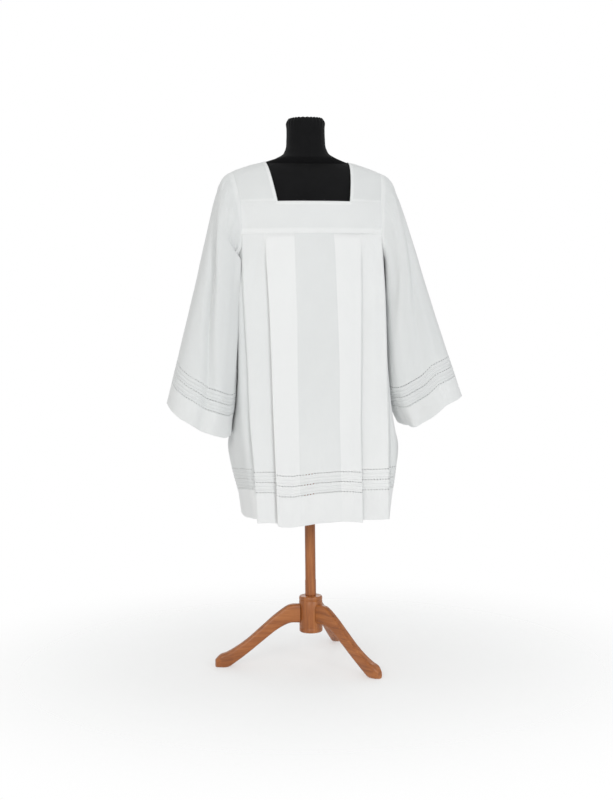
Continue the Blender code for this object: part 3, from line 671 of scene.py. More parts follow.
def sleeve_base(way, flutes, lifts, inner):
    """The left sleeve's smooth surface, as rings from the cuff up, for a grid of ways down."""
    angle = np.linspace(0, 2 * math.pi, way.shape[1])[None, :]
    top = np.stack([read(SLEEVE_ROWS, column, way) for column in (1, 2, 3)], axis=-1)
    under = np.stack([read(SLEEVE_ROWS, column, way) for column in (4, 5, 6)], axis=-1)
    front = np.sin(angle) >= 0
    half_depth = np.where(front, read(SLEEVE_ROWS, 7, way), read(SLEEVE_ROWS, 8, way))
    share = ((1 + np.cos(angle)) / 2)[..., None]
    point = under + (top - under) * share
    pulled = hump(np.degrees(angle) - inner["angle"], inner["width"])
    boxiness = SLEEVE_BOXINESS - inner["fuller"] * pulled
    round_share = np.sign(np.sin(angle)) * np.abs(np.sin(angle)) ** boxiness
    flute = sum(
        depth * np.exp(-(((np.degrees(angle) - middle) / width) ** 2)) for middle, width, depth in flutes
    )
    depth = half_depth - flute * way**FLUTE_GROWTH
    dip = np.where(front, CUFF_DIP_FRONT, CUFF_DIP_BACK) * np.sin(angle) * (1 - np.cos(angle))
    lift = np.interp(np.degrees(angle), [row[0] for row in lifts], [row[1] for row in lifts])
    inward = -table_at(inner["pull"], way) * pulled
    free = np.stack([np.zeros_like(depth), -depth * round_share, lift * way**4 - dip * way**2], axis=-1)
    start_top = np.array(SLEEVE_ROWS[0][1:4])
    start_under = np.array(SLEEVE_ROWS[0][4:7])
    start = start_under + (start_top - start_under) * share[0]
    held = np.zeros_like(start)
    for is_front in (True, False):
        line = armhole_line(is_front)
        order = np.argsort(line[:, 2])
        line = line[order]
        height = line[0, 2] + (line[-1, 2] - line[0, 2]) * share[0, :, 0]
        found = np.stack([np.interp(height, line[:, 2], line[:, k]) for k in range(3)], axis=-1)
        held = np.where((front[0] == is_front)[:, None], found - start, held)
    held[:, 0] -= SEAM_LAP / 2
    fade = ease(way / ARMHOLE_FADE)[..., None]
    point[..., 0] += inward
    return point + held[None] * (1 - fade) + free * fade


def outward(grid, flip, closed=False):
    """Unit normals of a grid of points."""
    if closed:
        along = np.roll(grid[:, :-1], -1, axis=1) - np.roll(grid[:, :-1], 1, axis=1)
        along = np.concatenate([along, along[:, :1]], axis=1)
    else:
        along = np.gradient(grid, axis=1)
    up = np.gradient(grid, axis=0)
    normal = np.cross(along, up) * flip
    length = np.linalg.norm(normal, axis=-1, keepdims=True)
    return normal / np.maximum(length, 1e-12)


def hump(distance, width):
    """A soft bump, 1 at distance 0."""
    return np.exp(-((distance / width) ** 2))


def creases(u, v, rows):
    """Heights of listed folds, each a soft ridge or valley along a line that swells and dies away."""
    total = np.zeros_like(u)
    for u1, v1, u2, v2, width, height in rows:
        run_u, run_v = u2 - u1, v2 - v1
        length2 = run_u**2 + run_v**2
        t = ((u - u1) * run_u + (v - v1) * run_v) / length2
        across = ((u - u1) * run_v - (v - v1) * run_u) / math.sqrt(length2)
        along = np.clip(t, 0.0, 1.0)
        ends = np.abs(t - along) * math.sqrt(length2)
        total += height * hump(across, width) * hump(ends, width) * (0.25 + 0.75 * np.sin(math.pi * along))
    return total


def hanging_folds(angle, way, rows):
    """Heights of the long folds of a sleeve, each along its own line."""
    total = np.zeros_like(way)
    for before, after, line in rows:
        off = (angle - read(line, 1, way) + 0.5) % 1.0 - 0.5
        total += read(line, 2, way) * hump(off, np.where(off < 0, before, after))
    return total


def band(distance, start, end, soft):
    """1 between start and end, with soft sides."""
    return ease((distance - start) / soft + 0.5) * ease((end - distance) / soft + 0.5)


def edge_rows(hem, openwork, tucks, top, spacing=0.0075):
    """Distances above the edge for the rows of the openwork band, and which gaps between them are open."""
    marks = [0.0, 0.0012, 0.0035, hem - 0.002, hem - 0.0006, hem + 0.0006]
    for height in openwork:
        marks += [height + step * OPEN_HEIGHT / 2 for step in (-1.35, -1.0, 1.0, 1.35)]
    for height in tucks:
        marks += [height + step * TUCK_WIDTH / 2 for step in (-1.0, -0.5, 0.0, 0.5, 1.0)]
    marks.append(top)
    marks = sorted(set(round(mark, 6) for mark in marks))
    rows = [marks[0]]
    for mark in marks[1:]:
        steps = max(1, math.ceil((mark - rows[-1]) / spacing))
        if any(rows[-1] < height < mark for height in openwork):
            steps = 1
        rows += [rows[-1] + (mark - rows[-1]) * i / steps for i in range(1, steps + 1)]
    rows = np.array(rows)
    is_open = [any(low < height < high for height in openwork) for low, high in zip(rows, rows[1:])]
    return rows, np.array(is_open)


def relief(distance, hem, openwork, tucks):
    """Height of the tucks, the double hem and the openwork's bound edges, at distances above the edge."""
    total = HEM_STEP * ease((hem - distance) / 0.0012 + 0.5)
    for height in tucks:
        total = total + TUCK_HEIGHT * np.clip(1 - ((distance - height) / (TUCK_WIDTH / 2)) ** 2, 0, 1)
    for height in openwork:
        total = total + BIND_HEIGHT * hump(np.abs(distance - height) - OPEN_HEIGHT / 2, 0.0008)
    return total


def arc(points):
    """Running length along rows of points."""
    steps = np.linalg.norm(np.diff(points, axis=0), axis=-1)
    return np.concatenate([[0.0], np.cumsum(steps)])


def add_mesh(name, vertices, faces, finish, uv=None, thick_and_shade=None, smooth=True):
    mesh = bpy.data.meshes.new(name)
    mesh.from_pydata([tuple(v) for v in vertices], [], [tuple(f) for f in faces])
    if uv is not None:
        layer = mesh.uv_layers.new(name="Cloth")
        index = np.zeros(len(mesh.loops), dtype=np.int32)
        mesh.loops.foreach_get("vertex_index", index)
        layer.data.foreach_set("uv", np.asarray(uv, dtype=np.float32)[index].ravel())
    if thick_and_shade is not None:
        layer = mesh.attributes.new("thick_and_shade", "FLOAT", "POINT")
        layer.data.foreach_set("value", np.asarray(thick_and_shade, dtype=np.float32))
    mesh.materials.append(finish)
    if smooth:
        mesh.shade_smooth()
    mesh.update()
    made = bpy.data.objects.new(name, mesh)
    bpy.context.scene.collection.objects.link(made)
    return made


def grid_faces(rows, columns, closed, keep=None, flip=False):
    """Faces of a grid with that many rows and columns of points."""
    faces = []
    for r in range(rows - 1):
        if keep is not None and not keep[r]:
            continue
        for c in range(columns if closed else columns - 1):
            d = (c + 1) % columns
            face = (r * columns + c, r * columns + d, (r + 1) * columns + d, (r + 1) * columns + c)
            faces.append(face[::-1] if flip else face)
    return faces


def with_borders(packed):
    """The grid with a row and a column close inside each border, which keep its shading flat there."""
    for _ in range(2):
        first = packed[1:2] - packed[:1]
        last = packed[-2:-1] - packed[-1:]
        near_first = BORDER / np.maximum(np.linalg.norm(first[..., :3], axis=-1, keepdims=True), 2 * BORDER)
        near_last = BORDER / np.maximum(np.linalg.norm(last[..., :3], axis=-1, keepdims=True), 2 * BORDER)
        rows = [packed[:1], packed[:1] + first * near_first, packed[1:-1]]
        rows += [packed[-1:] + last * near_last, packed[-1:]]
        packed = np.concatenate(rows).swapaxes(0, 1)
    return packed


def shell(name, grid, uv, thick_and_shade, finish, keep=None, flip=False):
    """A thin cloth piece over a grid of points."""
    packed = with_borders(np.concatenate([grid, uv, thick_and_shade[..., None]], axis=-1))
    rows, columns = packed.shape[:2]
    if keep is not None:
        keep = [keep[0], *keep, keep[-1]]
    made = add_mesh(
        name,
        packed[..., :3].reshape(-1, 3),
        grid_faces(rows, columns, False, keep, flip),
        finish,
        packed[..., 3:5].reshape(-1, 2),
        packed[..., 5].reshape(-1),
    )
    wall = made.modifiers.new("Wall", "SOLIDIFY")
    wall.thickness = SHELL
    wall.offset = 0.0
    return made


def bars(lower, upper, normals, fill, vertices, faces):
    """Bundles of threads across an open row, from its lower to its upper edge. fill makes them wider."""
    length = arc((lower + upper) / 2)
    count = max(2, int(length[-1] / BAR_PITCH))
    places = (np.arange(count) + 0.5) / count * length[-1]

    def at(line, where):
        return np.stack([np.interp(where, length, line[:, k]) for k in range(3)], axis=-1)

    low, high, normal = at(lower, places), at(upper, places), at(normals, places)
    normal /= np.linalg.norm(normal, axis=-1, keepdims=True)
    run = at(lower, np.minimum(places + 0.001, length[-1])) - at(lower, np.maximum(places - 0.001, 0.0))
    run /= np.linalg.norm(run, axis=-1, keepdims=True)
    rise = high - low
    wider = np.interp(places, length, fill)
    for i in range(count):
        start = len(vertices)
        for share, width in ((-0.12, BAR_WIDTH), (0.25, BAR_WAIST), (0.75, BAR_WAIST), (1.12, BAR_WIDTH)):
            middle = low[i] + rise[i] * share
            across = run[i] * width * wider[i] / 2
            depth = normal[i] * BAR_DEPTH / 2
            vertices += [middle - across, middle - depth, middle + across, middle + depth]
        for s in range(3):
            for c in range(4):
                a, b = start + 4 * s + c, start + 4 * s + (c + 1) % 4
                faces.append((a, b, b + 4, a + 4))


def stitches(line, normals, vertices, faces, lift=0.0005):
    """A row of machine stitches along a line of points."""
    length = arc(line)
    count = max(1, int(length[-1] / STITCH_PITCH))
    starts = (np.arange(count) + 0.15) * length[-1] / count
    ends = starts + STITCH_LENGTH

    def at(points, where):
        return np.stack([np.interp(where, length, points[:, k]) for k in range(3)], axis=-1)

    first, last, normal = at(line, starts), at(line, ends), at(normals, (starts + ends) / 2)
    normal /= np.linalg.norm(normal, axis=-1, keepdims=True)
    for a, b, n in zip(first, last, normal):
        run = (b - a) / np.linalg.norm(b - a)
        across = np.cross(n, run) * STITCH_WIDTH / 2
        low = n * (lift - STITCH_WIDTH / 2)
        high = n * (lift + STITCH_WIDTH / 2)
        start = len(vertices)
        vertices += [a - across + low, a + across + low, b + across + low, b - across + low]
        inner = run * STITCH_WIDTH / 2
        vertices += [a - across + high + inner, a + across + high + inner]
        vertices += [b + across + high - inner, b - across + high - inner]
        for face in ((0, 1, 5, 4), (1, 2, 6, 5), (2, 3, 7, 6), (3, 0, 4, 7), (4, 5, 6, 7)):
            faces.append(tuple(start + k for k in face))


def with_hem(grid, normal, uv, thick_and_shade, low, is_open, hem):
    """The grid with a double hem turned up inside, and which gaps between its rows are cloth."""
    inside = [i for i in range(len(low)) if 0.002 < low[i] < hem - 0.001][::-1]
    rows = [(i, HEM_INSET, 0.0) for i in inside]
    rows += [(0, share * HEM_INSET, drop) for share, drop in HEM_FOLD]
    points = [grid[i] - normal[i] * inset + np.array([0.0, 0.0, drop]) for i, inset, drop in rows]
    picked = [i for i, _, _ in rows]
    keep = [True] * len(rows) + [not o for o in is_open] + [True] * (len(grid) - 1 - len(is_open))
    new_uv = uv[picked].copy()
    new_uv[..., 1] *= -1
    return (
        np.concatenate([np.array(points), grid]),
        np.concatenate([new_uv, uv]),
        np.concatenate([thick_and_shade[picked], thick_and_shade]),
        keep,
    )


def table_at(rows, x):
    return np.interp(x, [row[0] for row in rows], [row[1] for row in rows])


def uneven(u, v, shift):
    """Slight unevenness all over a piece of cloth."""
    broad = np.sin(u * 41.0 + v * 9.0 + shift) * np.sin(v * 13.0 - u * 17.0 + 2.0 * shift)
    fine = np.sin(u * 97.0 - v * 23.0 + 3.0 * shift) * np.sin(v * 37.0 + u * 31.0 + shift)
    return 0.0007 * broad + 0.0003 * fine


def surface_uv(grid, row, column):
    wide = np.broadcast_to(arc(grid[row])[None, :], grid.shape[:2])
    tall = np.broadcast_to(arc(grid[:, column])[:, None], grid.shape[:2])
    return np.stack([wide, tall], axis=-1)


def piece_of_bars(name, grid, normal, is_open, fill, finish, side=1):
    vertices, faces = [], []
    for row in np.flatnonzero(is_open):
        bars(grid[row], grid[row + 1], normal[row], fill[row], vertices, faces)
    points = np.array(vertices) * np.array([side, 1.0, 1.0])
    return add_mesh(name, points, faces, finish)


def piece_of_stitches(name, lines, finish):
    vertices, faces = [], []
    for line, normal in lines:
        stitches(line, normal, vertices, faces)
    return add_mesh(name, vertices, faces, finish, smooth=False)


def build_panel(front, finish, thread):
    """A skirt panel with its pleat, hem, tucks and openwork."""
    name = "body_front" if front else "body_back"
    flip = 1 if front else -1
    low, is_open = edge_rows(BODY_HEM, BODY_OPENWORK, BODY_TUCKS, BODY_BAND)
    up = np.linspace(0, 1, PANEL_ROWS + 1)[1:]
    grid, part, share = panel_base(front, low, up)
    x, z = grid[..., 0].copy(), grid[..., 2].copy()
    section = Section(z, np.sign(x), front)
    flat_part = np.broadcast_to(part[None, :] < SIDE, z.shape)
    around = np.broadcast_to(share[None, :], z.shape) * np.sign(x)
    below_yoke = ease((YOKE_BOTTOM - z) / 0.1)

    run = section.base(np.abs(x) + 0.001) - section.base(np.abs(x) - 0.001)
    out_x = -run[..., 1] * np.sign(x)
    out_y = section.sign * run[..., 0]
    base_normal = np.stack([out_x, out_y, np.zeros_like(x)], axis=-1)
    base_normal /= np.linalg.norm(base_normal, axis=-1, keepdims=True)
    folds = creases(x, z, FRONT_CREASES if front else BACK_CREASES) * ease((YOKE_BOTTOM - z) / 0.025)
    folds += uneven(x, z, 0.0 if front else 1.7) * below_yoke
    near = ease((section.fold_x - np.abs(x)) / 0.018)
    grid = grid + base_normal * (folds * near * flat_part)[..., None]

    normal = outward(grid, flip)
    side_folds = creases(around, z, SIDE_CREASES_FRONT if front else SIDE_CREASES_BACK)
    fade = np.sin(math.pi * np.abs(around)) * below_yoke
    grid = grid + normal * (side_folds * fade * ~flat_part)[..., None]

    bent = 1 - np.cos(np.abs(around) * math.pi / 2)
    tuck = bent / CORNER_TUCK_REACH * np.exp(1 - bent / CORNER_TUCK_REACH)
    if front:
        grid = grid - normal * (table_at(CORNER_TUCK, z) * tuck * ~flat_part)[..., None]
        leftness = ease(0.5 + x / (2 * SHIFT_BLEND))
        shift_right = table_at(PLEAT_SHIFT_RIGHT, z)
        shift = shift_right + (table_at(PLEAT_SHIFT_LEFT, z) - shift_right) * leftness
        inner_shift = np.where(x > 0, table_at(INNER_SHIFT_LEFT, z), table_at(INNER_SHIFT_RIGHT, z))
        from_edge = (section.edge - np.abs(x)) / (section.edge - section.inner)
        near_inner = np.clip(np.minimum(np.abs(x) / section.inner, from_edge), 0.0, 1.0)
        shift = shift * (1 - (x / section.fold_x) ** 4) + inner_shift * near_inner
        grid[..., 0] += shift * flat_part
        from_pleat = np.where(part[None, :] == PANEL, share[None, :], 0.0)
        beside = (part[None, :] == PANEL) + share[None, :] * (part[None, :] == BEHIND)
        hollow = np.where(
            x > 0,
            LEFT_HOLLOW * (1 - ease(from_pleat / LEFT_HOLLOW_REACH)),
            RIGHT_CREVICE * hump(from_pleat, 0.08),
        )
        grid[..., 1] += hollow * beside * ease((YOKE_BOTTOM - z) / 0.12)
    swell = np.where(x > 0, table_at(SIDE_SWELL_LEFT, z), table_at(SIDE_SWELL_RIGHT, z))
    swell = swell * ease((np.abs(around) - SWELL_START) / (SWELL_END - SWELL_START)) * ~flat_part
    if front:
        before_seam = ease(np.abs(around) / 0.4) * ease((1 - np.abs(around)) / 0.5) * ~flat_part
        swell = swell + table_at(SIDE_FRONT_SWELL_RIGHT, z) * before_seam * (x < 0)
    grid[..., 0] += np.sign(x) * swell
    wander = FOLD_WANDER * (np.sin(z * 11.0 + 0.6 * np.sign(x)) + 0.5 * np.sin(z * 27.0 + 1.1))
    reach = np.where(flat_part, ease((np.abs(x) / section.fold_x - 0.6) / 0.4), 1 - np.abs(around))
    corner = np.where((x < 0) & front, table_at(CORNER_SHIFT_RIGHT, z), 0.0)
    grid[..., 0] += (np.sign(x) * wander * ease((YOKE_BOTTOM - z) / 0.25) + corner) * reach

    lift = table_at(HEM_LIFT_FRONT if front else HEM_LIFT_BACK, x)
    lift = lift * np.where(flat_part, 1.0, 1 - np.abs(around))
    step = np.where(x < 0, SIDE_HEM_LIFT, 0.3 * SIDE_HEM_LIFT)
    step = step * np.sin(math.pi * np.clip(np.abs(around) / (2 * SIDE_HEM_STEP), 0, 0.5))
    lift = lift + step * (1 - ease((np.abs(around) - 0.5) / 0.5)) * ~flat_part
    under = UNDER_LIFT * ease(share / UNDER_LIFT_REACH)[None, :] * (part[None, :] == UNDER)
    under = under + UNDER_LIFT * (part[None, :] == INNER_TURN)
    under = under + UNDER_LIFT * ease((1 - share) / UNDER_LIFT_REACH)[None, :] * (part[None, :] == BEHIND)
    grid[..., 2] += (lift + under) * ease((0.75 - z) / 0.25)
    distance = np.concatenate([low, BODY_BAND + 0.01 + up])[:, None]
    normal = outward(grid, flip)
    grid = grid + normal * relief(distance, BODY_HEM, BODY_OPENWORK, BODY_TUCKS)[..., None]

    # The centre's single layer is painted darker as painted shade of dark showing through it, fading
    # towards the hem
    single = (part == CENTRE) & (share * CENTRE_COLUMNS < CENTRE_COLUMNS_INSIDE + 0.5)
    single = np.broadcast_to(single[None, :], z.shape)
    centre = THICK_CENTRE_SHADED + CENTRE_SHADE_FADE * ease((0.8 - z) / 0.25)
    # Beside the pleat: a second layer behind, and the wearer's left panel painted lighter than the right as
    # painted light
    beside = np.where(x > 0, THICK_BESIDE_LEFT_LIT, THICK_BESIDE_RIGHT_SHADED)
    thick_and_shade = np.where(single, centre, np.where(part[None, :] < PANEL, THICK_PLEAT, beside))
    # The sides are painted darker, as painted shade where they turn away from the light
    thick_and_shade = np.where(flat_part, thick_and_shade, THICK_SIDE_SHADED)
    thick_and_shade = np.maximum(thick_and_shade, np.where(distance < BODY_HEM, THICK_BODY_HEM, 0.0))
    uv = surface_uv(grid, len(low), grid.shape[1] // 2)
    points, uv, thick_and_shade, keep = with_hem(grid, normal, uv, thick_and_shade, low, is_open, BODY_HEM)
    panel = shell(f"{name}_cloth", points, uv, thick_and_shade, finish, keep=keep, flip=not front)
    single_fill = np.where(distance > BODY_OPENWORK[1] + 0.01, BAR_FILL_TOP_ROW, 1.0)
    fill = np.where(single, single_fill, BAR_FILL_LAYERED)
    openwork = piece_of_bars(f"{name}_openwork", grid, normal, is_open, fill, thread)
    hem_row = int(np.argmin(np.abs(low - (BODY_HEM - 0.002))))
    seam = piece_of_stitches(f"{name}_stitches", [(grid[hem_row], normal[hem_row])], thread)
    return panel, openwork, seam


def build_sleeve(label, side, finish, thread):
    """A bell sleeve, worked out as the left one and mirrored for the right."""
    name = f"sleeve_{label}"
    flutes = LEFT_SLEEVE_FLUTES if side > 0 else RIGHT_SLEEVE_FLUTES
    lifts = LEFT_CUFF_LIFT if side > 0 else RIGHT_CUFF_LIFT
    inner = LEFT_SLEEVE_INNER if side > 0 else RIGHT_SLEEVE_INNER
    low, is_open = edge_rows(SLEEVE_HEM, SLEEVE_OPENWORK, SLEEVE_TUCKS, SLEEVE_BAND)
    steps = np.linspace(1, 0, 201)
    trial = sleeve_base(np.repeat(steps[:, None], SLEEVE_SIDES + 1, axis=1), flutes, lifts, inner)
    low_way = np.stack([np.interp(low, arc(trial[:, c]), steps) for c in range(SLEEVE_SIDES + 1)], axis=1)
    up = np.linspace(1, 0, SLEEVE_ROW_COUNT + 1)[1:, None]
    way = np.concatenate([low_way, low_way[-1:] * up])
    grid = sleeve_base(way, flutes, lifts, inner)
    angle = np.linspace(0, 1, SLEEVE_SIDES + 1)[None, :] + 0 * way
    normal = outward(grid, -1, closed=True)
    folds = creases(angle, way, LEFT_SLEEVE_CREASES if side > 0 else RIGHT_SLEEVE_CREASES)
    folds *= ease(way / 0.2) * (0.35 + 0.65 * way)
    hanging = hanging_folds(angle, way, LEFT_SLEEVE_FOLDS if side > 0 else RIGHT_SLEEVE_FOLDS)
    folds += hanging
    folds += creases(angle, way, SLEEVE_HEAD_CREASES) * ease(way / 0.02)
    around = np.stack([np.cos(2 * math.pi * angle), np.sin(2 * math.pi * angle)], axis=-1)
    folds += uneven(around[..., 0] * 0.11, around[..., 1] * 0.11 + way * 0.6, 0.8 * side) * ease(way / 0.1)
    grid = grid + normal * folds[..., None]
    distance = np.concatenate([low, SLEEVE_BAND + 0.01 + np.arange(SLEEVE_ROW_COUNT)])[:, None]
    normal = outward(grid, -1, closed=True)
    grid = grid + normal * relief(distance, SLEEVE_HEM, SLEEVE_OPENWORK, SLEEVE_TUCKS)[..., None]
    # Sleeve tone: one layer painted darker as painted shade of dark showing through, fold valleys painted
    # darker and ridges lighter as painted shade and light
    thick_and_shade = np.where(distance < SLEEVE_HEM, THICK_SLEEVE_HEM, THICK_SLEEVE_SHADED) + FOLD_PAINTED_SHADE * hanging
    thick_and_shade = np.maximum(thick_and_shade, THICK_SLEEVE_HEAD * ease((0.03 - way) / 0.02))
    uv = surface_uv(grid, len(low), SLEEVE_SIDES // 4)
    points, uv, thick_and_shade, keep = with_hem(grid, normal, uv, thick_and_shade, low, is_open, SLEEVE_HEM)
    mirror = np.array([side, 1.0, 1.0])
    sleeve = shell(f"{name}_cloth", points * mirror, uv, thick_and_shade, finish, keep=keep, flip=side > 0)
    fill = BAR_FILL_INNER + BAR_FILL_OUTER * ease(0.5 + 2.5 * np.cos(2 * math.pi * angle))
    openwork = piece_of_bars(f"{name}_openwork", grid, normal, is_open, fill, thread, side)
    hem_row = int(np.argmin(np.abs(low - (SLEEVE_HEM - 0.002))))
    lines = [(grid[hem_row] * mirror, normal[hem_row] * mirror)]
    lines.append((grid[-2] * mirror, normal[-2] * mirror))
    seam = piece_of_stitches(f"{name}_stitches", lines, thread)
    return sleeve, openwork, seam


def build_yoke(front, finish, thread):
    name = "yoke_front" if front else "yoke_back"
    flip = 1 if front else -1
    grid = yoke_grid(front)
    x, z = grid[..., 0].copy(), grid[..., 2].copy()
    normal = outward(grid, flip)
    top = FRONT_YOKE_TOP if front else BACK_YOKE_TOP
    edge = np.minimum(z - YOKE_BOTTOM, top - z)
    soft = ease(edge / 0.012)
    lift = (creases(x, z, YOKE_CREASES) + 0.6 * uneven(x, z, 0.4 if front else 2.2)) * soft
    lift += YOKE_TURNING * band(z, YOKE_BOTTOM - 0.01, YOKE_BOTTOM + SEAM_ALLOWANCE, 0.002)
    neck = (np.abs(x) < NECK_CORNER_X + 0.004) & (z > top - NECK_TURNING_WIDTH)
    lift += YOKE_TURNING * ease((z - (top - NECK_TURNING_WIDTH)) / 0.002)
    grid = grid + normal * lift[..., None]
    thick_and_shade = np.maximum(band(z, YOKE_BOTTOM - 0.01, YOKE_BOTTOM + SEAM_ALLOWANCE, 0.003), THICK_YOKE)
    thick_and_shade = np.maximum(thick_and_shade, np.where(neck, THICK_NECK, 0.0))
    uv = surface_uv(grid, 0, grid.shape[1] // 2)
    yoke = shell(f"{name}_cloth", grid, uv, thick_and_shade, finish, flip=not front)
    lines = []
    for height in (YOKE_BOTTOM + 0.0022, YOKE_BOTTOM + SEAM_ALLOWANCE - 0.0015, top - 0.0022):
        row = int(np.argmin(np.abs(z[:, grid.shape[1] // 2] - height)))
        lines.append((grid[row], normal[row]))
    seam = piece_of_stitches(f"{name}_stitches", lines, thread)
    return yoke, seam


def build_strap(label, side, finish, thread):
    name = f"shoulder_{label}"
    grid = strap_grid()
    normal = outward(grid, -1)
    columns = grid.shape[1] - 1
    across = np.linspace(0, 1, columns + 1)[None, :] + 0 * grid[..., 0]
    rows = grid.shape[0] - 1
    along = np.linspace(-1, 1, rows + 1)[:, None] + 0 * grid[..., 0]
    soft = ease(np.minimum(across, 1 - across) / 0.12) * ease((1 - np.abs(along)) / 0.1)
    lift = 0.8 * uneven(grid[..., 0], grid[..., 1] * 1.4, 1.1 * side) * soft
    lift += 0.0012 * hump(along - 0.3 - 0.2 * across, 0.1) * soft
    lift -= 0.001 * hump(along + 0.35 + 0.3 * across, 0.12) * soft
    at_neck = ease((NECK_TURNING_SHARE - across) / 0.02)
    lift += YOKE_TURNING * at_neck
    grid = grid + normal * lift[..., None]
    thick_and_shade = np.maximum(THICK_NECK * at_neck, THICK_STRAP)
    at_end = ease((0.05 - (1 - np.abs(along))) / 0.02)
    thick_and_shade = np.maximum(thick_and_shade, THICK_STRAP_END * at_end)
    uv = surface_uv(grid, rows // 2, columns // 2)
    mirror = np.array([side, 1.0, 1.0])
    strap = shell(f"{name}_cloth", grid * mirror, uv, thick_and_shade, finish, flip=side > 0)
    inner = int(round(0.075 * columns))
    lines = [(grid[:, inner] * mirror, normal[:, inner] * mirror)]
    for row in (1, rows - 1):
        lines.append((grid[row] * mirror, normal[row] * mirror))
    seam = piece_of_stitches(f"{name}_stitches", lines, thread)
    return strap, seam


def tube(name, line, radius, finish, closed=True, sides=8):
    """A round cord of cloth along a line of points."""
    line = np.asarray(line)
    ahead = np.roll(line, -1, axis=0) - np.roll(line, 1, axis=0)
    if not closed:
        ahead = np.gradient(line, axis=0)
    ahead /= np.linalg.norm(ahead, axis=-1, keepdims=True)
    first = np.cross(ahead, np.array([0.0, 0.3, 1.0]))
    first /= np.linalg.norm(first, axis=-1, keepdims=True)
    second = np.cross(ahead, first)
    angle = np.linspace(0, 2 * math.pi, sides, endpoint=False)[None, :, None]
    ring = line[:, None] + radius * (np.cos(angle) * first[:, None] + np.sin(angle) * second[:, None])
    count = len(line)
    faces = []
    for r in range(count if closed else count - 1):
        for c in range(sides):
            n, d = (r + 1) % count, (c + 1) % sides
            faces.append((r * sides + c, r * sides + d, n * sides + d, n * sides + c))
    return add_mesh(name, ring.reshape(-1, 3), faces, finish)


def build_seams(finish):
    """The ridges of turned cloth along the armholes."""
    made = []
    for label, side in (("left", 1), ("right", -1)):
        line = np.concatenate([armhole_line(True)[::-1], armhole_line(False)[1:]])
        line[:, 0] += SEAM_ROLL_OFFSET
        line = line * np.array([side, 1.0, 1.0])
        made.append(tube(f"armhole_seam_{label}", line, SEAM_ROLL, finish, False))
    return made


def build_neck_edge(finish):
    """The folded edge that runs round the square neck opening."""
    strap = strap_grid()[:, 0]
    xs = np.linspace(-NECK_CORNER_X, NECK_CORNER_X, 42)[1:-1]
    front = arch(xs, lean_at(xs, np.full_like(xs, FRONT_YOKE_TOP)), True)
    back = arch(xs, -lean_at(xs, np.full_like(xs, BACK_YOKE_TOP)), False)
    line = [*strap, *front[::-1], *(strap[::-1] * np.array([-1.0, 1.0, 1.0])), *back]
    return tube("neck_edge", line, NECK_ROLL, finish)


def form_grid():
    """The dress form's surface from its underside to the neck, as level rings."""
    angle = np.linspace(0, 2 * math.pi, FORM_SIDES, endpoint=False)
    cosine, sine = np.cos(angle), np.sin(angle)
    front = sine < 0

    def body_ring(z, half_width, depth_front, depth_back):
        share = np.maximum(1 - np.abs(cosine) ** FORM_SECTION_POWER, 0) ** (1 / FORM_SECTION_POWER)
        y = np.where(front, -depth_front * share, depth_back * share)
        return np.stack([half_width * cosine, y, np.full_like(cosine, z)], axis=-1)

    def shoulder_ring(z):
        inset = WALL / 2 + FORM_CLEARANCE
        xs = np.linspace(0, 0.4, 2001)
        half_width = min(xs[np.flatnonzero(ridge_height(xs) - inset > z)[-1]], FORM_SHOULDER_X)
        x = half_width * cosine
        rise = np.minimum((z - YOKE_BOTTOM) / (ridge_height(x) - inset - YOKE_BOTTOM), 1.0)
        reach = np.where(front, chest_depth(x, True), chest_depth(x, False)) - FORM_CHEST_INSET
        depth = reach * np.sqrt(1 - rise * rise)
        depth *= np.sqrt(np.maximum(1 - (np.abs(x) / FORM_SHOULDER_X) ** FORM_EDGE_POWER, 0.0))
        return np.stack([x, np.where(front, -depth, depth), np.full_like(x, z)], axis=-1)

    rings = []
    for z in np.linspace(FORM_ROWS[-1][0], FORM_ROWS[0][0], 60):
        rings.append(body_ring(z, *(read(FORM_ROWS, column, [z])[0] for column in (1, 2, 3))))
    low = rings[-1]
    for z in np.concatenate([np.linspace(*levels) for levels in FORM_SHOULDER_LEVELS]):
        ring = shoulder_ring(max(z, YOKE_BOTTOM))
        if z < YOKE_BOTTOM:
            mix = ease((z - FORM_ROWS[0][0]) / (YOKE_BOTTOM - FORM_ROWS[0][0]))
            ring = low * (1 - mix) + ring * mix
            ring[:, 2] = z
        rings.append(ring)
    for z in np.linspace(FORM_NECK_ROWS[0][0], FORM_NECK_ROWS[-1][0], 30):
        rings.append(body_ring(z, *(read(FORM_NECK_ROWS, column, [z])[0] for column in (1, 2, 3))))
    return np.array(rings)


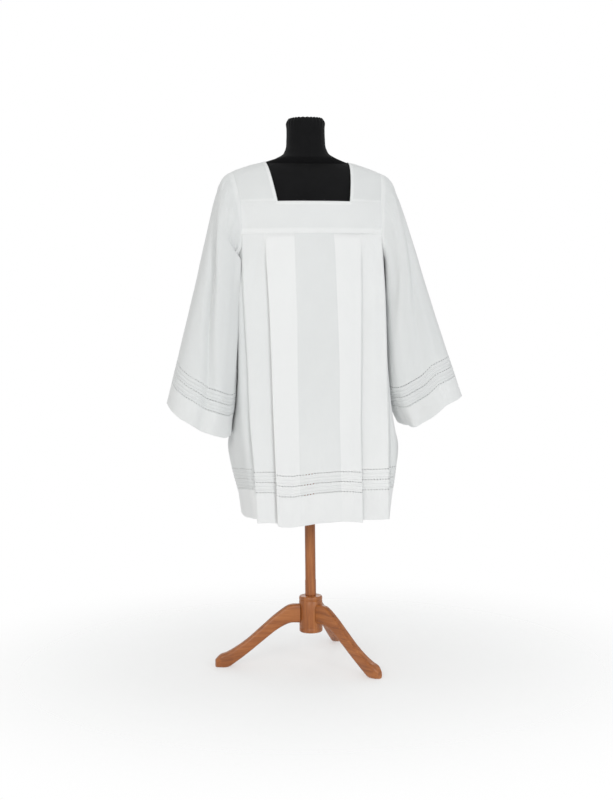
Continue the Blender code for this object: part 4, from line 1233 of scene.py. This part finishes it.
def build_form(finish):
    """The black form, with its sewn panels and the gathered cover of its neck."""
    grid = form_grid()
    normal = outward(np.concatenate([grid, grid[:, :1]], axis=1), -1, closed=True)[:, :-1]
    turn = np.linspace(0, 1, FORM_SIDES, endpoint=False)[None, :]
    z = grid[..., 2]
    away = [np.abs(turn - place) for place in FORM_SEAMS]
    seams = sum(hump(np.minimum(off, 1 - off), FORM_SEAM_WIDTH) for off in away)
    grid = grid - normal * (FORM_SEAM_DEPTH * seams)[..., None]
    gathers = 0.5 + 0.5 * np.cos(2 * math.pi * turn * NECK_GATHERS + 0.7 * np.sin(2 * math.pi * turn * 5))
    grid = grid - normal * (NECK_GATHER_DEPTH * gathers * ease((z - NECK_GATHER_START) / 0.02))[..., None]
    bottom = grid[0].mean(axis=0)
    top = grid[-1].mean(axis=0)
    caps = []
    for share in (0.985, 0.8, 0.5, 0.2):
        caps.append(bottom + (grid[0] - bottom) * share)
    tops = []
    for share, rise in ((0.9, 0.0), (0.7, -0.0012), (0.45, -0.003), (0.2, -0.0036)):
        ring = top + (grid[-1] - top) * share
        ring[:, 2] += rise
        tops.append(ring)
    rings = np.concatenate([np.array(caps[::-1]), grid, np.array(tops)])
    rows, columns = rings.shape[:2]
    faces = grid_faces(rows, columns, True)
    vertices = [*rings.reshape(-1, 3)]
    vertices += [bottom, tops[-1].mean(axis=0)]
    low, high = rows * columns, rows * columns + 1
    last = (rows - 1) * columns
    for c in range(columns):
        d = (c + 1) % columns
        faces.append((d, c, low))
        faces.append((last + c, last + d, high))
    return add_mesh("form_cover", vertices, faces, finish)


def turned(name, profile, finish, sides=64):
    """A turned piece from a profile of (radius, height)."""
    angle = np.linspace(0, 2 * math.pi, sides, endpoint=False)
    vertices = []
    for radius, height in profile:
        vertices += [(radius * math.cos(a), radius * math.sin(a), height) for a in angle]
    rows = len(profile)
    faces = grid_faces(rows, sides, True)
    faces.append(tuple(range(sides))[::-1])
    faces.append(tuple((rows - 1) * sides + c for c in range(sides)))
    made = add_mesh(name, vertices, faces, finish)
    made.data.set_sharp_from_angle(angle=math.radians(SHARP_EDGE))
    return made


def build_leg(number, turn, finish):
    """A shaped wooden leg, worked out along +X and turned into place."""
    distances = np.linspace(LEG_ROWS[0][0], LEG_ROWS[-1][0], 60)
    middle, half_height, half_width = (read(LEG_ROWS, column, distances) for column in (1, 2, 3))
    angle = np.linspace(0, 2 * math.pi, 32, endpoint=False)
    across = np.sign(np.cos(angle)) * np.abs(np.cos(angle)) ** LEG_BOXINESS
    rise = np.sign(np.sin(angle)) * np.abs(np.sin(angle)) ** LEG_BOXINESS
    rings = []
    for d, m, h, w in zip(distances, middle, half_height, half_width):
        rings.append([(d, w * a, max(m + h * r, 0.0)) for a, r in zip(across, rise)])
    rows, columns = len(rings), len(angle)
    faces = grid_faces(rows, columns, True)
    faces.append(tuple(range(columns))[::-1])
    faces.append(tuple((rows - 1) * columns + c for c in range(columns)))
    leg = add_mesh(f"leg_{number}_shaped", np.array(rings).reshape(-1, 3), faces, finish)
    leg.data.set_sharp_from_angle(angle=math.radians(SHARP_EDGE))
    leg.rotation_euler = (0.0, 0.0, math.radians(turn))
    return leg


def nodes_of(name):
    made = bpy.data.materials.new(name)
    made.use_nodes = True
    tree = made.node_tree
    return made, tree, tree.nodes["Principled BSDF"]


def noise(tree, vector, scale, detail=4.0, roughness=0.5):
    node = tree.nodes.new("ShaderNodeTexNoise")
    node.inputs["Scale"].default_value = scale
    node.inputs["Detail"].default_value = detail
    node.inputs["Roughness"].default_value = roughness
    tree.links.new(vector, node.inputs["Vector"])
    return node.outputs["Fac"]


def stretched(tree, vector, scale):
    node = tree.nodes.new("ShaderNodeMapping")
    node.inputs["Scale"].default_value = scale
    tree.links.new(vector, node.inputs["Vector"])
    return node.outputs["Vector"]


def threads(tree, vector, direction, period):
    node = tree.nodes.new("ShaderNodeTexWave")
    node.wave_type = "BANDS"
    node.bands_direction = direction
    node.inputs["Scale"].default_value = 2 * math.pi / (20 * period)
    node.inputs["Distortion"].default_value = 0.4
    node.inputs["Detail"].default_value = 1.0
    node.inputs["Detail Scale"].default_value = 0.3
    tree.links.new(vector, node.inputs["Vector"])
    return node.outputs["Fac"]


def maths(tree, kind, first, second):
    node = tree.nodes.new("ShaderNodeMath")
    node.operation = kind
    for socket, value in zip(node.inputs, (first, second)):
        if isinstance(value, (int, float)):
            socket.default_value = value
        else:
            tree.links.new(value, socket)
    return node.outputs["Value"]


def bump(tree, height, strength, distance, base=None):
    node = tree.nodes.new("ShaderNodeBump")
    node.inputs["Strength"].default_value = strength
    node.inputs["Distance"].default_value = distance
    tree.links.new(height, node.inputs["Height"])
    if base is not None:
        tree.links.new(base, node.inputs["Normal"])
    return node.outputs["Normal"]


def ramp(tree, factor, stops):
    node = tree.nodes.new("ShaderNodeValToRGB")
    elements = node.color_ramp.elements
    while len(elements) < len(stops):
        elements.new(0.5)
    for element, (place, colour) in zip(elements, stops):
        element.position = place
        element.color = (*colour, 1.0)
    tree.links.new(factor, node.inputs["Fac"])
    return node.outputs["Color"]


def coordinates(tree, kind):
    node = tree.nodes.new("ShaderNodeTexCoord")
    return node.outputs[kind]


def white_cloth():
    """Plain-woven white cotton: brighter where folded double, darker where the attribute carries painted
    shade, with threads, slubs and soft creasing.
    """
    made, tree, shader = nodes_of("white_cloth")
    uv = coordinates(tree, "UV")
    place = coordinates(tree, "Object")
    # The tone attribute holds the layers of cloth and also painted shade and painted light
    thick_and_shade = tree.nodes.new("ShaderNodeAttribute")
    thick_and_shade.attribute_name = "thick_and_shade"
    slub = noise(tree, stretched(tree, uv, (900.0, 60.0, 1.0)), 1.0, 3.0)
    soft = noise(tree, place, 9.0, 3.0)
    shade = maths(tree, "MULTIPLY", thick_and_shade.outputs["Fac"], 0.62)
    shade = maths(tree, "ADD", shade, maths(tree, "MULTIPLY", soft, 0.22))
    shade = maths(tree, "ADD", shade, maths(tree, "MULTIPLY", slub, 0.1))
    colour = ramp(tree, shade, ((0.1, CLOTH_SINGLE), (0.9, CLOTH_DOUBLE)))
    tree.links.new(colour, shader.inputs["Base Color"])
    shader.inputs["Subsurface Weight"].default_value = 0.5
    shader.inputs["Subsurface Radius"].default_value = (1.0, 1.0, 1.0)
    shader.inputs["Subsurface Scale"].default_value = 0.0012
    shader.inputs["Roughness"].default_value = 0.82
    shader.inputs["Specular IOR Level"].default_value = 0.25
    shader.inputs["Sheen Weight"].default_value = 0.18
    shader.inputs["Sheen Roughness"].default_value = 0.5
    weave = maths(tree, "ADD", threads(tree, uv, "X", 0.0007), threads(tree, uv, "Y", 0.0007))
    creasing = noise(tree, place, 28.0, 5.0, 0.6)
    normal = bump(tree, creasing, 0.3, 0.0022)
    normal = bump(tree, slub, 0.2, 0.0002, normal)
    normal = bump(tree, weave, 0.3, 0.00012, normal)
    tree.links.new(normal, shader.inputs["Normal"])
    return made


def thread_finish():
    """Twisted white thread of the stitches and of the openwork's bundles."""
    made, tree, shader = nodes_of("white_thread")
    place = coordinates(tree, "Object")
    colour = ramp(tree, noise(tree, place, 400.0), ((0.2, CLOTH_SINGLE), (0.8, CLOTH_DOUBLE)))
    tree.links.new(colour, shader.inputs["Base Color"])
    shader.inputs["Roughness"].default_value = 0.7
    shader.inputs["Sheen Weight"].default_value = 0.1
    twist = threads(tree, place, "DIAGONAL", 0.0005)
    tree.links.new(bump(tree, twist, 0.4, 0.0001), shader.inputs["Normal"])
    return made


def black_jersey():
    made, tree, shader = nodes_of("black_jersey")
    place = coordinates(tree, "Object")
    dye = noise(tree, place, 22.0, 4.0)
    colour = ramp(tree, dye, ((0.3, (0.0045, 0.0045, 0.005)), (0.75, (0.007, 0.007, 0.0076))))
    tree.links.new(colour, shader.inputs["Base Color"])
    shader.inputs["Roughness"].default_value = 0.9
    shader.inputs["Specular IOR Level"].default_value = 0.15
    shader.inputs["Sheen Weight"].default_value = 0.05
    knit = maths(tree, "ADD", threads(tree, place, "X", 0.0012), threads(tree, place, "Z", 0.001))
    normal = bump(tree, noise(tree, place, 18.0, 2.0), 0.12, 0.001)
    tree.links.new(bump(tree, knit, 0.3, 0.0001, normal), shader.inputs["Normal"])
    return made


def stained_wood(name, along):
    """Satin stained wood with its grain along X or Z."""
    made, tree, shader = nodes_of(name)
    place = coordinates(tree, "Object")
    scale = (2.2, 34.0, 34.0) if along == "X" else (34.0, 34.0, 2.2)
    grain_place = stretched(tree, place, scale)
    grain = noise(tree, grain_place, 2.6, 8.0, 0.62)
    fine = noise(tree, grain_place, 14.0, 4.0, 0.7)
    mixed = maths(tree, "ADD", maths(tree, "MULTIPLY", grain, 0.72), maths(tree, "MULTIPLY", fine, 0.28))
    colour = ramp(tree, mixed, ((0.3, WOOD_DARK), (0.5, WOOD_MIDDLE), (0.68, WOOD_LIGHT)))
    tree.links.new(colour, shader.inputs["Base Color"])
    rough = tree.nodes.new("ShaderNodeMapRange")
    rough.inputs["To Min"].default_value = 0.34
    rough.inputs["To Max"].default_value = 0.52
    tree.links.new(fine, rough.inputs["Value"])
    tree.links.new(rough.outputs["Result"], shader.inputs["Roughness"])
    shader.inputs["Coat Weight"].default_value = 0.25
    shader.inputs["Coat Roughness"].default_value = 0.25
    tree.links.new(bump(tree, mixed, 0.25, 0.0006), shader.inputs["Normal"])
    return made


def build_stage():
    made, tree, shader = nodes_of("pale_floor")
    place = coordinates(tree, "Object")
    colour = ramp(tree, noise(tree, place, 3.0), ((0.2, (0.95, 0.95, 0.95)), (0.8, (0.97, 0.97, 0.97))))
    tree.links.new(colour, shader.inputs["Base Color"])
    shader.inputs["Roughness"].default_value = 0.9
    shader.inputs["Specular IOR Level"].default_value = 0.1
    clear = tree.nodes.new("ShaderNodeBsdfTransparent")
    mix = tree.nodes.new("ShaderNodeMixShader")
    far = tree.nodes.new("ShaderNodeVectorMath")
    far.operation = "LENGTH"
    tree.links.new(place, far.inputs[0])
    fade = tree.nodes.new("ShaderNodeMapRange")
    fade.interpolation_type = "SMOOTHSTEP"
    fade.inputs["From Min"].default_value = FLOOR_FADE[0]
    fade.inputs["From Max"].default_value = FLOOR_FADE[1]
    fade.inputs["To Min"].default_value = FLOOR_CLEAR
    tree.links.new(far.outputs["Value"], fade.inputs["Value"])
    tree.links.new(fade.outputs["Result"], mix.inputs["Fac"])
    tree.links.new(shader.outputs["BSDF"], mix.inputs[1])
    tree.links.new(clear.outputs["BSDF"], mix.inputs[2])
    tree.links.new(mix.outputs["Shader"], tree.nodes["Material Output"].inputs["Surface"])
    corners = [(-30, -30, 0), (30, -30, 0), (30, 30, 0), (-30, 30, 0)]
    floor = add_mesh("floor", corners, [(0, 1, 2, 3)], made)
    world = bpy.data.worlds.new("studio")
    world.use_nodes = True
    around = world.node_tree.nodes["Background"]
    around.inputs["Color"].default_value = WORLD_COLOUR
    around.inputs["Strength"].default_value = WORLD_STRENGTH
    behind = world.node_tree.nodes.new("ShaderNodeBackground")
    behind.inputs["Color"].default_value = (1.0, 1.0, 1.0, 1.0)
    path = world.node_tree.nodes.new("ShaderNodeLightPath")
    either = world.node_tree.nodes.new("ShaderNodeMixShader")
    world.node_tree.links.new(path.outputs["Is Camera Ray"], either.inputs["Fac"])
    world.node_tree.links.new(around.outputs["Background"], either.inputs[1])
    world.node_tree.links.new(behind.outputs["Background"], either.inputs[2])
    surface = world.node_tree.nodes["World Output"].inputs["Surface"]
    world.node_tree.links.new(either.outputs["Shader"], surface)
    bpy.context.scene.world = world
    for name, place, target, size, power, colour in LIGHTS:
        light = bpy.data.lights.new(name, "AREA")
        light.energy = power
        light.size = size
        light.color = colour
        lamp = bpy.data.objects.new(name, light)
        lamp.location = place
        lamp.rotation_euler = (Vector(target) - Vector(place)).to_track_quat("-Z", "Y").to_euler()
        bpy.context.scene.collection.objects.link(lamp)
    bpy.context.scene.view_settings.view_transform = "Standard"
    bpy.context.scene.view_settings.look = "None"
    bpy.context.scene.view_settings.exposure = 0.0


def build_camera():
    data = bpy.data.cameras.new("camera")
    camera = bpy.data.objects.new("camera", data)
    bpy.context.scene.collection.objects.link(camera)
    data.sensor_fit = "VERTICAL"
    data.sensor_height = 36.0
    data.lens = 36.0 * CAMERA_DISTANCE / VIEW_HEIGHT
    data.clip_end = 200.0
    turn = math.radians(CAMERA_AZIMUTH)
    forward = Vector((-math.sin(turn), math.cos(turn), -math.tan(math.radians(CAMERA_PITCH))))
    right = Vector((math.cos(turn), math.sin(turn), 0.0))
    flat = Vector((forward.x, forward.y, 0.0))
    camera.location = -CAMERA_DISTANCE * flat - CAMERA_OFFSET * right + Vector((0.0, 0.0, CAMERA_HEIGHT))
    look = forward.to_track_quat("-Z", "Y").to_matrix().to_4x4()
    roll = Matrix.Rotation(-CAMERA_ROLL, 4, "Z")
    camera.rotation_euler = (look @ roll).to_euler()
    bpy.context.scene.camera = camera


def finish_piece(made):
    for piece in made:
        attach(piece, "root")


def main():
    cloth = white_cloth()
    thread = thread_finish()
    jersey = black_jersey()
    wood_leg = stained_wood("stained_wood_leg", "X")
    wood_post = stained_wood("stained_wood_post", "Z")

    for front in (True, False):
        panel, openwork, seam = build_panel(front, cloth, thread)
        body = "body_front" if front else "body_back"
        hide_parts(body)
        finish_piece((panel, openwork, seam))
        yoke, seam = build_yoke(front, cloth, thread)
        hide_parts("yoke_front" if front else "yoke_back")
        finish_piece((yoke, seam))
    for label, side in (("left", 1), ("right", -1)):
        sleeve, openwork, seam = build_sleeve(label, side, cloth, thread)
        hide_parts(f"sleeve_{label}")
        finish_piece((sleeve, openwork, seam))
        strap, seam = build_strap(label, side, cloth, thread)
        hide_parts(f"shoulder_{label}")
        finish_piece((strap, seam))
    finish_piece((build_neck_edge(cloth), *build_seams(cloth)))

    form = build_form(jersey)
    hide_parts("form_torso")
    finish_piece((form,))
    pole = turned("pole_turned", POLE_PROFILE, wood_post)
    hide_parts("stand_pole")
    hub = turned("hub_turned", HUB_PROFILE, wood_post)
    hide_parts("stand_hub")
    legs = [build_leg(number, turn, wood_leg) for number, turn in enumerate(LEG_ANGLES, 1)]
    for number, leg in enumerate(legs, 1):
        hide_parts(f"leg_{number}")
    finish_piece((pole, hub, *legs))
    build_stage()
    build_camera()


main()
bpy.context.view_layer.update()
